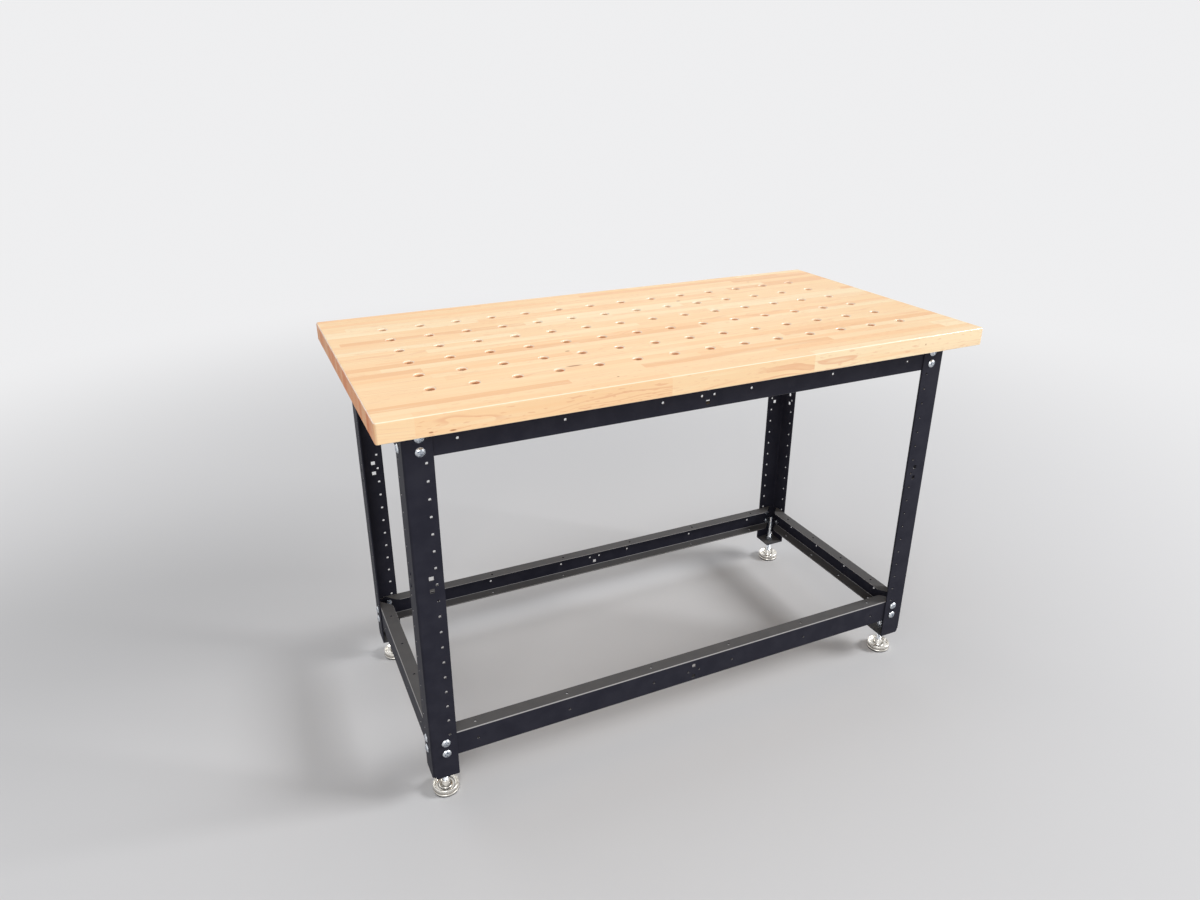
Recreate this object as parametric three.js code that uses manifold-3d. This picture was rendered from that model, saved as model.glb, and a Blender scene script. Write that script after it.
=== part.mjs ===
// A workshop assembly table: a drilled timber top on a bolted angle-leg frame with four levelling feet.
// Millimetres, +Z up, +X along the length, +Y towards the back, origin on the floor under the centre.
import * as THREE from "three";
import { mergeVertices } from "three/addons/utils/BufferGeometryUtils.js";
import Module from "manifold-3d";

const wasm = await Module();
wasm.setup();

// Gap that coated or loosely seated faces keep between them
const JOINT_GAP = 0.3;
// How far a cutting prism runs past both faces of what it cuts
const CUT_PAST = 1;

// Whole table
const TABLE_HEIGHT = 1010;
const LEG_FLOOR_GAP = 68;
const OVERHANG_END = 58;
const OVERHANG_SIDE = 61;

// Timber top with its grid of dog holes
const TOP_LENGTH = 1524;
const TOP_WIDTH = 762;
const TOP_THICKNESS = 44.45;
const TOP_CORNER_RADIUS = 6;
const DOG_HOLE_DIAMETER = 20;
const DOG_HOLE_PITCH = 95.25;
const DOG_HOLE_COLUMNS = 14;
const DOG_HOLE_ROWS = 6;

// Angle legs
const LEG_FLANGE = 63.5;
const LEG_THICKNESS = 3;
const LEG_BEND_RADIUS = 5;
const LEG_HOLE_DIAMETER = 6.5;
const LEG_HOLE_PITCH = 40.8;
const LEG_HOLE_DROP = 81.7; // from the leg's top to the first hole of the row
const LEG_HOLE_EDGE = 15.7; // from the flange's free edge
const LEG_HOLE_BOLT_SPACE = 12; // least rise from the lower bolts to the last hole
const LEG_CORNER_CLIP = 11; // the bend is relieved this far at its lower end
const SPARE_PAIR_DROP = 365.5; // from the leg's top to the pair of unused square holes
const FOOT_PLATE_THICKNESS = 3;

// Channel rails
const RAIL_THICKNESS = 2.5;
const RAIL_FLANGE = 36;
const RAIL_LINE = 32; // from the rail's lower edge up to its line of holes
const LOWER_RAIL_HEIGHT = 66.5;
const LOWER_LINE_RISE = 84.5; // from the leg's lower end up to the lower rail's line
const UPPER_LINE_DROP = 39.5; // from the leg's top down to the upper rail's line
const RAIL_END_INSET = 12; // the web stops this far inside the frame's outer faces
const RAIL_FLANGE_INSET = 22; // the flanges' mitres meet the web this far inside the frame's outer faces
const RAIL_MITRE_EASE = 8; // how far the mitre's inner corner is rounded along the edge
const RAIL_HOLE_DIAMETER = 6.5;
const RAIL_FLANGE_HOLE_SET = 19.5; // from the web's outer face to the flange holes
const LONG_RAIL_HOLE_PITCH = 235.6;
const END_RAIL_HOLE_PITCH = 138;
const CROSS_ARM = 16.5; // reach of the cross of four holes at mid-length
const CROSS_ROUND = 11;
const CROSS_SQUARE = 10.5;

// Carriage bolts with their nuts
const BOLT_INSET = 36.5; // from the leg's outer corner
const BOLT_SPACING = 30.6;
const BOLT_NECK = 9.9;
const BOLT_CLEARANCE = 0.5;
const BOLT_HEAD_DIAMETER = 21;
const BOLT_HEAD_HEIGHT = 5;
const BOLT_CROWN_DIAMETER = 12.6; // where the domed head's slope flattens
const BOLT_CROWN_HEIGHT = 4;
const BOLT_NUT_ACROSS_FLATS = 14.3;
const BOLT_NUT_HEIGHT = 8.3;
const BOLT_THREAD_DIAMETER = 9.5;
const BOLT_TAIL = 4;

// Levelling feet
const FOOT_INSET = 35; // from both outer faces of the leg to the stem's axis
const PAD_DIAMETER = 64;
const PAD_RIM_HEIGHT = 20;
const PAD_LIP_HEIGHT = 7; // top of the lower lip
const PAD_GROOVE_HEIGHT = 10; // bottom of the groove between the lip and the rim
const PAD_RIM_EDGE = 16; // widest part of the upper rim
const PAD_GROOVE_DEPTH = 2;
const PAD_RIM_WIDTH = 3; // level ring on top of the rim
const PAD_DISH_DIAMETER = 46; // floor of the dish inside the rim
const PAD_DISH_FLOOR = 13;
const PAD_CONE_DIAMETER = 29; // foot of the cone that holds the stem
const PAD_HUB_DIAMETER = 18;
const PAD_HUB_HEIGHT = 29;
const PAD_SOCKET_FLOOR = 9;
const STEM_DIAMETER = 12.7;
const STEM_TOP = 162; // above the floor
const STEM_CLEARANCE = 0.3;
const FOOT_NUT_ACROSS_FLATS = 19;
const FOOT_NUT_HEIGHT = 11;

// Facets of round forms
const SQUARE_SIDES = 4;
const HEX_SIDES = 6;
const DOG_HOLE_SIDES = 8;
const SMALL_HOLE_SIDES = 6;
const BOLT_HEAD_SIDES = 8;
const STEM_SIDES = 12;
const PAD_SIDES = 20;
const BEND_STEPS = 2;

// Levels and faces that follow from the sizes
const TOP_UNDERSIDE = TABLE_HEIGHT - TOP_THICKNESS;
const FRAME_TOP = TOP_UNDERSIDE - JOINT_GAP;
const FRAME_LENGTH = TOP_LENGTH - 2 * OVERHANG_END;
const FRAME_WIDTH = TOP_WIDTH - 2 * OVERHANG_SIDE;
const UPPER_LINE = FRAME_TOP - UPPER_LINE_DROP;
const LOWER_LINE = LEG_FLOOR_GAP + LOWER_LINE_RISE;
const SPARE_LINE = FRAME_TOP - SPARE_PAIR_DROP;
const UPPER_RAIL_HEIGHT = UPPER_LINE_DROP + RAIL_LINE;
const RAIL_FACE_INSET = LEG_THICKNESS + JOINT_GAP; // rail webs lie inside the leg flanges
const BOLT_GRIP = RAIL_FACE_INSET + RAIL_THICKNESS;
const SQUARE_HOLE = BOLT_NECK + 2 * BOLT_CLEARANCE;
const PAIR = [
  { place: "high", rise: BOLT_SPACING / 2 },
  { place: "low", rise: -BOLT_SPACING / 2 },
];

const timber = new THREE.MeshStandardMaterial({ color: 0xe3bb8a, roughness: 0.55, metalness: 0 });
const powderCoat = new THREE.MeshStandardMaterial({ color: 0x1d1d22, roughness: 0.5, metalness: 0.1 });
const zinc = new THREE.MeshStandardMaterial({ color: 0xb4b9bd, roughness: 0.35, metalness: 0.9 });
const nickel = new THREE.MeshStandardMaterial({ color: 0xdcd9cc, roughness: 0.25, metalness: 0.9 });

// A closed geometry as a solid that can be joined and cut
function solidOf(geometry) {
  const bare = new THREE.BufferGeometry();
  bare.setAttribute("position", geometry.getAttribute("position"));
  bare.setIndex(geometry.getIndex());
  const merged = mergeVertices(bare, 1e-4);
  return new wasm.Manifold(
    new wasm.Mesh({
      numProp: 3,
      vertProperties: new Float32Array(merged.getAttribute("position").array),
      triVerts: new Uint32Array(merged.getIndex().array),
    }),
  );
}

function geometryOf(solid) {
  const mesh = solid.getMesh();
  const geometry = new THREE.BufferGeometry();
  geometry.setAttribute("position", new THREE.BufferAttribute(mesh.vertProperties, 3));
  geometry.setIndex(new THREE.BufferAttribute(mesh.triVerts, 1));
  geometry.computeVertexNormals();
  return geometry;
}

function joined(geometries) {
  return geometryOf(geometries.map(solidOf).reduce((whole, piece) => whole.add(piece)));
}

// The distance across a hexagon's corners
function across(flats) {
  return flats / Math.cos(Math.PI / HEX_SIDES);
}

// Straight-sided outline of a round or square hole, turned so that squares lie level
function outline(x, y, diameter, sides) {
  const points = [];
  for (let i = 0; i < sides; i += 1) {
    const angle = (2 * Math.PI * (i + 0.5)) / sides;
    const reach = new THREE.Vector2(Math.cos(angle), Math.sin(angle)).multiplyScalar(diameter / 2);
    points.push(reach.add(new THREE.Vector2(x, y)));
  }
  return new THREE.Shape(points);
}

function roundHole(x, y, diameter, sides = SMALL_HOLE_SIDES) {
  return outline(x, y, diameter, sides);
}

function squareHole(x, y, side) {
  return outline(x, y, side * Math.SQRT2, SQUARE_SIDES);
}

function prism(shape, depth) {
  return new THREE.ExtrudeGeometry(shape, { depth, bevelEnabled: false, curveSegments: BEND_STEPS });
}

// A flat plate on the XY plane with holes cut right through it
function plate(shape, depth, holes) {
  const cutters = holes.map((hole) => prism(hole, depth + 2 * CUT_PAST).translate(0, 0, -CUT_PAST));
  const blank = solidOf(prism(shape, depth));
  return geometryOf(cutters.reduce((rest, cutter) => rest.subtract(solidOf(cutter)), blank));
}

// Stands a plate up on the XZ plane, with its depth along +Y
function uprightAlongY(geometry, depth) {
  const turn = new THREE.Matrix4().makeBasis(
    new THREE.Vector3(1, 0, 0),
    new THREE.Vector3(0, 0, 1),
    new THREE.Vector3(0, -1, 0),
  );
  return geometry.clone().applyMatrix4(turn).translate(0, depth, 0);
}

// Stands a plate up on the YZ plane, with its depth along +X
function uprightAlongX(geometry) {
  const turn = new THREE.Matrix4().makeBasis(
    new THREE.Vector3(0, 1, 0),
    new THREE.Vector3(0, 0, 1),
    new THREE.Vector3(1, 0, 0),
  );
  return geometry.clone().applyMatrix4(turn);
}

function named(name, geometry, material) {
  const mesh = new THREE.Mesh(geometry, material.clone());
  mesh.name = name;
  return mesh;
}

// Places of a row of holes that is centred on zero
function centredRow(count, pitch) {
  return Array.from({ length: count }, (_, i) => (i - (count - 1) / 2) * pitch);
}

function worktop() {
  const x = TOP_LENGTH / 2 - TOP_CORNER_RADIUS;
  const y = TOP_WIDTH / 2 - TOP_CORNER_RADIUS;
  const shape = new THREE.Shape();
  shape.absarc(x, y, TOP_CORNER_RADIUS, 0, Math.PI / 2);
  shape.absarc(-x, y, TOP_CORNER_RADIUS, Math.PI / 2, Math.PI);
  shape.absarc(-x, -y, TOP_CORNER_RADIUS, Math.PI, 1.5 * Math.PI);
  shape.absarc(x, -y, TOP_CORNER_RADIUS, 1.5 * Math.PI, 2 * Math.PI);
  const holes = centredRow(DOG_HOLE_COLUMNS, DOG_HOLE_PITCH).flatMap((column) =>
    centredRow(DOG_HOLE_ROWS, DOG_HOLE_PITCH).map((row) =>
      roundHole(column, row, DOG_HOLE_DIAMETER, DOG_HOLE_SIDES),
    ),
  );
  return plate(shape, TOP_THICKNESS, holes).translate(0, 0, TOP_UNDERSIDE);
}

// Heights of the accessory holes, from the first one down to the last above the lower bolts
function legHoleHeights() {
  const lowest = LOWER_LINE + BOLT_SPACING / 2 + LEG_HOLE_BOLT_SPACE;
  const heights = [];
  for (let z = FRAME_TOP - LEG_HOLE_DROP; z >= lowest; z -= LEG_HOLE_PITCH) {
    heights.push(z);
  }
  return heights;
}

// All the holes of one flange, in distance from the outer corner and height
function legHoles() {
  const row = LEG_FLANGE - LEG_HOLE_EDGE;
  const holes = legHoleHeights().map((z) => roundHole(row, z, LEG_HOLE_DIAMETER));
  for (const line of [UPPER_LINE, SPARE_LINE, LOWER_LINE]) {
    for (const { rise } of PAIR) {
      holes.push(squareHole(BOLT_INSET, line + rise, SQUARE_HOLE));
    }
  }
  return holes;
}

// One flange as an upright plate whose lower corner is clipped beside the bend
function legFlangeShape() {
  const shape = new THREE.Shape();
  shape.moveTo(LEG_CORNER_CLIP, LEG_FLOOR_GAP);
  shape.lineTo(LEG_FLANGE, LEG_FLOOR_GAP);
  shape.lineTo(LEG_FLANGE, FRAME_TOP);
  shape.lineTo(LEG_BEND_RADIUS, FRAME_TOP);
  shape.lineTo(LEG_BEND_RADIUS, LEG_FLOOR_GAP + LEG_CORNER_CLIP);
  return shape;
}

// The quarter-round bend between the flanges, from its relief at the bottom to the leg's top
function legBend() {
  const inner = LEG_BEND_RADIUS - LEG_THICKNESS;
  const shape = new THREE.Shape();
  shape.absarc(LEG_BEND_RADIUS, LEG_BEND_RADIUS, LEG_BEND_RADIUS, Math.PI, 1.5 * Math.PI);
  shape.absarc(LEG_BEND_RADIUS, LEG_BEND_RADIUS, inner, 1.5 * Math.PI, Math.PI, true);
  const foot = LEG_FLOOR_GAP + LEG_CORNER_CLIP;
  return prism(shape, FRAME_TOP - foot).translate(0, 0, foot);
}

// The plate that closes the leg's lower end and carries the foot
function footPlate() {
  const side = LEG_THICKNESS / 2;
  const shape = new THREE.Shape();
  shape.moveTo(LEG_CORNER_CLIP, side);
  shape.lineTo(LEG_FLANGE, side);
  shape.lineTo(LEG_FLANGE, LEG_FLANGE);
  shape.lineTo(side, LEG_FLANGE);
  shape.lineTo(side, LEG_CORNER_CLIP);
  const hole = roundHole(FOOT_INSET, FOOT_INSET, stemHoleDiameter(), STEM_SIDES);
  return plate(shape, FOOT_PLATE_THICKNESS, [hole]).translate(0, 0, LEG_FLOOR_GAP);
}

function leg() {
  const flange = plate(legFlangeShape(), LEG_THICKNESS, legHoles());
  return joined([uprightAlongY(flange, LEG_THICKNESS), uprightAlongX(flange), legBend(), footPlate()]);
}

// A rail lies along X with its web's outer face at y = 0, its flanges towards +Y and its lower edge at z = 0
function railWeb(frameSize, height, holePitch, hasCross) {
  const half = frameSize / 2 - RAIL_END_INSET;
  const shape = new THREE.Shape();
  shape.moveTo(-half, 0);
  shape.lineTo(half, 0);
  shape.lineTo(half, height);
  shape.lineTo(-half, height);
  const holes = railHolePlaces(frameSize, holePitch).map((x) => roundHole(x, RAIL_LINE, RAIL_HOLE_DIAMETER));
  for (const side of [-1, 1]) {
    for (const { rise } of PAIR) {
      holes.push(squareHole(side * (frameSize / 2 - BOLT_INSET), RAIL_LINE + rise, SQUARE_HOLE));
    }
    if (hasCross) {
      holes.push(roundHole(side * CROSS_ARM, RAIL_LINE, RAIL_HOLE_DIAMETER));
    }
  }
  if (hasCross) {
    holes.push(roundHole(0, RAIL_LINE + CROSS_ARM, CROSS_ROUND, DOG_HOLE_SIDES));
    holes.push(squareHole(0, RAIL_LINE - CROSS_ARM, CROSS_SQUARE));
  }
  return uprightAlongY(plate(shape, RAIL_THICKNESS, holes), RAIL_THICKNESS);
}

// As many holes as fit between the mitred ends of the flanges
function railHolePlaces(frameSize, holePitch) {
  const straight = frameSize - 2 * (RAIL_FLANGE_INSET + RAIL_FLANGE);
  return centredRow(Math.floor(straight / holePitch) + 1, holePitch);
}

// A flange whose ends are mitred back to the web, which leaves the corner free for the foot and the nuts
function railFlange(frameSize, holePitch) {
  const half = frameSize / 2 - RAIL_FLANGE_INSET;
  const edge = half - RAIL_FLANGE;
  const drop = RAIL_MITRE_EASE * Math.SQRT1_2;
  const shape = new THREE.Shape();
  shape.moveTo(-half, 0);
  shape.lineTo(half, 0);
  shape.lineTo(edge + drop, RAIL_FLANGE - drop);
  shape.quadraticCurveTo(edge, RAIL_FLANGE, edge - RAIL_MITRE_EASE, RAIL_FLANGE);
  shape.lineTo(RAIL_MITRE_EASE - edge, RAIL_FLANGE);
  shape.quadraticCurveTo(-edge, RAIL_FLANGE, -edge - drop, RAIL_FLANGE - drop);
  const places = railHolePlaces(frameSize, holePitch);
  const holes = places.map((x) => roundHole(x, RAIL_FLANGE_HOLE_SET, RAIL_HOLE_DIAMETER));
  return plate(shape, RAIL_THICKNESS, holes);
}

function rail(frameSize, height, holePitch, hasCross) {
  const lower = railFlange(frameSize, holePitch);
  const upper = lower.clone().translate(0, 0, height - RAIL_THICKNESS);
  return joined([railWeb(frameSize, height, holePitch, hasCross), lower, upper]);
}

// A carriage bolt along +Z from the leg's outer face at z = 0, with its nut tightened on the rail's web
function bolt() {
  const seat = -JOINT_GAP;
  const dome = [
    [0, -BOLT_HEAD_HEIGHT],
    [BOLT_CROWN_DIAMETER / 2, -BOLT_CROWN_HEIGHT],
    [BOLT_HEAD_DIAMETER / 2, 0],
    [0, 0],
  ];
  const head = turned(dome, BOLT_HEAD_SIDES).translate(0, 0, seat);
  const nutSeat = BOLT_GRIP + JOINT_GAP;
  const neckStart = seat - BOLT_HEAD_HEIGHT / 2;
  const neckEnd = nutSeat + BOLT_NUT_HEIGHT / 2;
  const neck = new THREE.BoxGeometry(BOLT_NECK, BOLT_NECK, neckEnd - neckStart);
  neck.translate(0, 0, (neckStart + neckEnd) / 2);
  const nut = prism(outline(0, 0, across(BOLT_NUT_ACROSS_FLATS), HEX_SIDES), BOLT_NUT_HEIGHT);
  nut.translate(0, 0, nutSeat);
  const tailLength = BOLT_NUT_HEIGHT / 2 + BOLT_TAIL;
  const tail = prism(outline(0, 0, BOLT_THREAD_DIAMETER, SMALL_HOLE_SIDES), tailLength);
  tail.translate(0, 0, nutSeat + BOLT_NUT_HEIGHT / 2);
  return joined([head, neck, nut, tail]);
}

// Wide enough between its flats for the stem's corners to turn inside
function stemHoleDiameter() {
  return (STEM_DIAMETER + 2 * STEM_CLEARANCE) / Math.cos(Math.PI / STEM_SIDES);
}

// A solid of revolution about Z from a profile of radius and height
function turned(profile, sides) {
  const points = profile.map(([radius, z]) => new THREE.Vector2(radius, z));
  return new THREE.LatheGeometry(points, sides).rotateX(Math.PI / 2);
}

// The foot's pad, with a groove round its rim, a dished top and a socket in its cone for the stem
function footPad() {
  const rim = PAD_DIAMETER / 2;
  const hub = PAD_HUB_DIAMETER / 2;
  const socket = stemHoleDiameter() / 2;
  return turned(
    [
      [0, 0],
      [rim, 0],
      [rim, PAD_LIP_HEIGHT],
      [rim - PAD_GROOVE_DEPTH, PAD_GROOVE_HEIGHT],
      [rim, PAD_RIM_EDGE],
      [rim - PAD_GROOVE_DEPTH, PAD_RIM_HEIGHT],
      [rim - PAD_GROOVE_DEPTH - PAD_RIM_WIDTH, PAD_RIM_HEIGHT],
      [PAD_DISH_DIAMETER / 2, PAD_DISH_FLOOR],
      [PAD_CONE_DIAMETER / 2, PAD_DISH_FLOOR],
      [hub, PAD_HUB_HEIGHT],
      [socket, PAD_HUB_HEIGHT],
      [socket, PAD_SOCKET_FLOOR],
      [0, PAD_SOCKET_FLOOR],
    ],
    PAD_SIDES,
  );
}

// The plain cylinder stands for the threaded rod, from the pad's socket to its free upper end
function footStem() {
  const radius = STEM_DIAMETER / 2;
  const foot = PAD_SOCKET_FLOOR + JOINT_GAP;
  return turned(
    [
      [0, foot],
      [radius, foot],
      [radius, STEM_TOP],
      [0, STEM_TOP],
    ],
    STEM_SIDES,
  );
}

function footNut() {
  const shape = outline(0, 0, across(FOOT_NUT_ACROSS_FLATS), HEX_SIDES);
  const nut = plate(shape, FOOT_NUT_HEIGHT, [roundHole(0, 0, stemHoleDiameter(), STEM_SIDES)]);
  return nut.translate(0, 0, LEG_FLOOR_GAP + FOOT_PLATE_THICKNESS + JOINT_GAP);
}

// One corner of the frame, with the leg's outer corner at x = y = 0 and the table towards +X and +Y
function corner(label) {
  const group = new THREE.Group();
  group.add(named(`leg_${label}`, leg(), powderCoat));
  for (const [level, line] of [["upper", UPPER_LINE], ["lower", LOWER_LINE]]) {
    for (const { place, rise } of PAIR) {
      const long = named(`bolt_${label}_long_${level}_${place}`, bolt(), zinc);
      long.position.set(BOLT_INSET, 0, line + rise);
      long.rotation.x = -Math.PI / 2;
      const end = named(`bolt_${label}_end_${level}_${place}`, bolt(), zinc);
      end.position.set(0, BOLT_INSET, line + rise);
      end.rotation.y = Math.PI / 2;
      group.add(long, end);
    }
  }
  const foot = new THREE.Group();
  foot.position.set(FOOT_INSET, FOOT_INSET, 0);
  foot.add(
    named(`foot_pad_${label}`, footPad(), nickel),
    named(`foot_stem_${label}`, footStem(), zinc),
    named(`foot_nut_${label}`, footNut(), zinc),
  );
  group.add(foot);
  return group;
}

const table = new THREE.Group();
table.add(named("worktop", worktop(), timber));

// The corners are mirror images, so each group points its own +X and +Y at the table's middle
for (const [depthName, depthSide] of [["front", -1], ["back", 1]]) {
  for (const [widthName, widthSide] of [["left", -1], ["right", 1]]) {
    const group = corner(`${depthName}_${widthName}`);
    group.position.set((widthSide * FRAME_LENGTH) / 2, (depthSide * FRAME_WIDTH) / 2, 0);
    group.scale.set(-widthSide, -depthSide, 1);
    table.add(group);
  }
}

// The two long and two end rails of each level face outwards
for (const [level, line, height] of [
  ["upper", UPPER_LINE, UPPER_RAIL_HEIGHT],
  ["lower", LOWER_LINE, LOWER_RAIL_HEIGHT],
]) {
  for (const [side, turn, size, depth, pitch, hasCross] of [
    ["front", 0, FRAME_LENGTH, FRAME_WIDTH, LONG_RAIL_HOLE_PITCH, true],
    ["right", 1, FRAME_WIDTH, FRAME_LENGTH, END_RAIL_HOLE_PITCH, false],
    ["back", 2, FRAME_LENGTH, FRAME_WIDTH, LONG_RAIL_HOLE_PITCH, true],
    ["left", 3, FRAME_WIDTH, FRAME_LENGTH, END_RAIL_HOLE_PITCH, false],
  ]) {
    const geometry = rail(size, height, pitch, hasCross);
    geometry.translate(0, RAIL_FACE_INSET - depth / 2, line - RAIL_LINE);
    const mesh = named(`${level}_rail_${side}`, geometry, powderCoat);
    mesh.rotation.z = (turn * Math.PI) / 2;
    table.add(mesh);
  }
}

export default table;
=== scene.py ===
"""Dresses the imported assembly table: a drilled butcher-block top on a bolted frame with levelling feet."""

import logging
import math
from abc import ABC, abstractmethod
from collections.abc import Iterable, Sequence
from dataclasses import dataclass
from enum import Enum
from typing import ClassVar, Union

import bmesh
import bpy
from mathutils import Matrix, Vector


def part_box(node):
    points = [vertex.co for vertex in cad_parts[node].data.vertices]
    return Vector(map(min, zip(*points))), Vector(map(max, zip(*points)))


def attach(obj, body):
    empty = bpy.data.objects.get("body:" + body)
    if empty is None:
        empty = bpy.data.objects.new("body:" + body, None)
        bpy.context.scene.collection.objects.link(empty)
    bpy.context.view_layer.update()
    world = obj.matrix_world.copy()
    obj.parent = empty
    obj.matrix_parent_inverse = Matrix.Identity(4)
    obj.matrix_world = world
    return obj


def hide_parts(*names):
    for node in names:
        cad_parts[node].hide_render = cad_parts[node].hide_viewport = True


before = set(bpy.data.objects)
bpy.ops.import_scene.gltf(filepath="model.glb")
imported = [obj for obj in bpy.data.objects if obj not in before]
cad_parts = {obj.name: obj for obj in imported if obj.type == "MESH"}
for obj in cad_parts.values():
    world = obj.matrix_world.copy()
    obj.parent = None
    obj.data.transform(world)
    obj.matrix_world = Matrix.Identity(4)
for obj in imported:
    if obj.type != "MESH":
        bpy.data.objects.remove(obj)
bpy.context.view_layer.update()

MM = 0.001
SIXTH_TURN = math.pi / 3
QUARTER_TURN = math.pi / 2
FULL_TURN = 2 * math.pi
SHARP_ANGLE = math.radians(35)
WELD_DISTANCE = 0.001 * MM
TURNING_MAP = "turning"
FRAME_BODY = "frame"
BACKDROP = (0.86, 0.86, 0.87)
SMALL_HOLE = 6.5 * MM
BOLT_HOLE = 10.9 * MM
BOLT_SPACING = 30.6 * MM

Object = bpy.types.Object
Colour = tuple[float, float, float]
Point = tuple[float, float, float]
Flat = tuple[float, float]
Skin = tuple[Flat, Flat]
Value = Union["Socket", float]
Place = tuple["Socket", "Socket", "Socket"]

log = logging.getLogger("assembly_table")


class Socket:
    """A node's output that takes part in plain Python maths."""

    def __init__(self, graph: "Graph", link: bpy.types.NodeSocket) -> None:
        """Wraps one output of a node in a graph."""
        self.graph = graph
        self.link = link

    def output(self, name: str) -> "Socket":
        """Gives another output of the same node."""
        return Socket(self.graph, self.link.node.outputs[name])

    def math(self, operation: str, *others: Value) -> "Socket":
        """Adds a Math node that has this value first."""
        return self.graph.math(operation, self, *others)

    def __add__(self, other: Value) -> "Socket":
        """This value plus another."""
        return self.math("ADD", other)

    def __radd__(self, other: float) -> "Socket":
        """A number plus this value."""
        return self.graph.math("ADD", other, self)

    def __sub__(self, other: Value) -> "Socket":
        """This value less another."""
        return self.math("SUBTRACT", other)

    def __rsub__(self, other: float) -> "Socket":
        """A number less this value."""
        return self.graph.math("SUBTRACT", other, self)

    def __mul__(self, other: Value) -> "Socket":
        """This value times another."""
        return self.math("MULTIPLY", other)

    def __rmul__(self, other: float) -> "Socket":
        """A number times this value."""
        return self.graph.math("MULTIPLY", other, self)

    def __truediv__(self, other: Value) -> "Socket":
        """This value divided by another."""
        return self.math("DIVIDE", other)

    def __rtruediv__(self, other: float) -> "Socket":
        """A number divided by this value."""
        return self.graph.math("DIVIDE", other, self)

    def __pow__(self, other: Value) -> "Socket":
        """This value to a power."""
        return self.math("POWER", other)

    def __abs__(self) -> "Socket":
        """This value without its sign."""
        return self.math("ABSOLUTE")

    def step(self, low: float, high: float) -> "Socket":
        """Rises smoothly from 0 at low to 1 at high."""
        span = {"Value": self, "From Min": low, "From Max": high}
        return self.graph.node("ShaderNodeMapRange", span, interpolation_type="SMOOTHSTEP")


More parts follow.
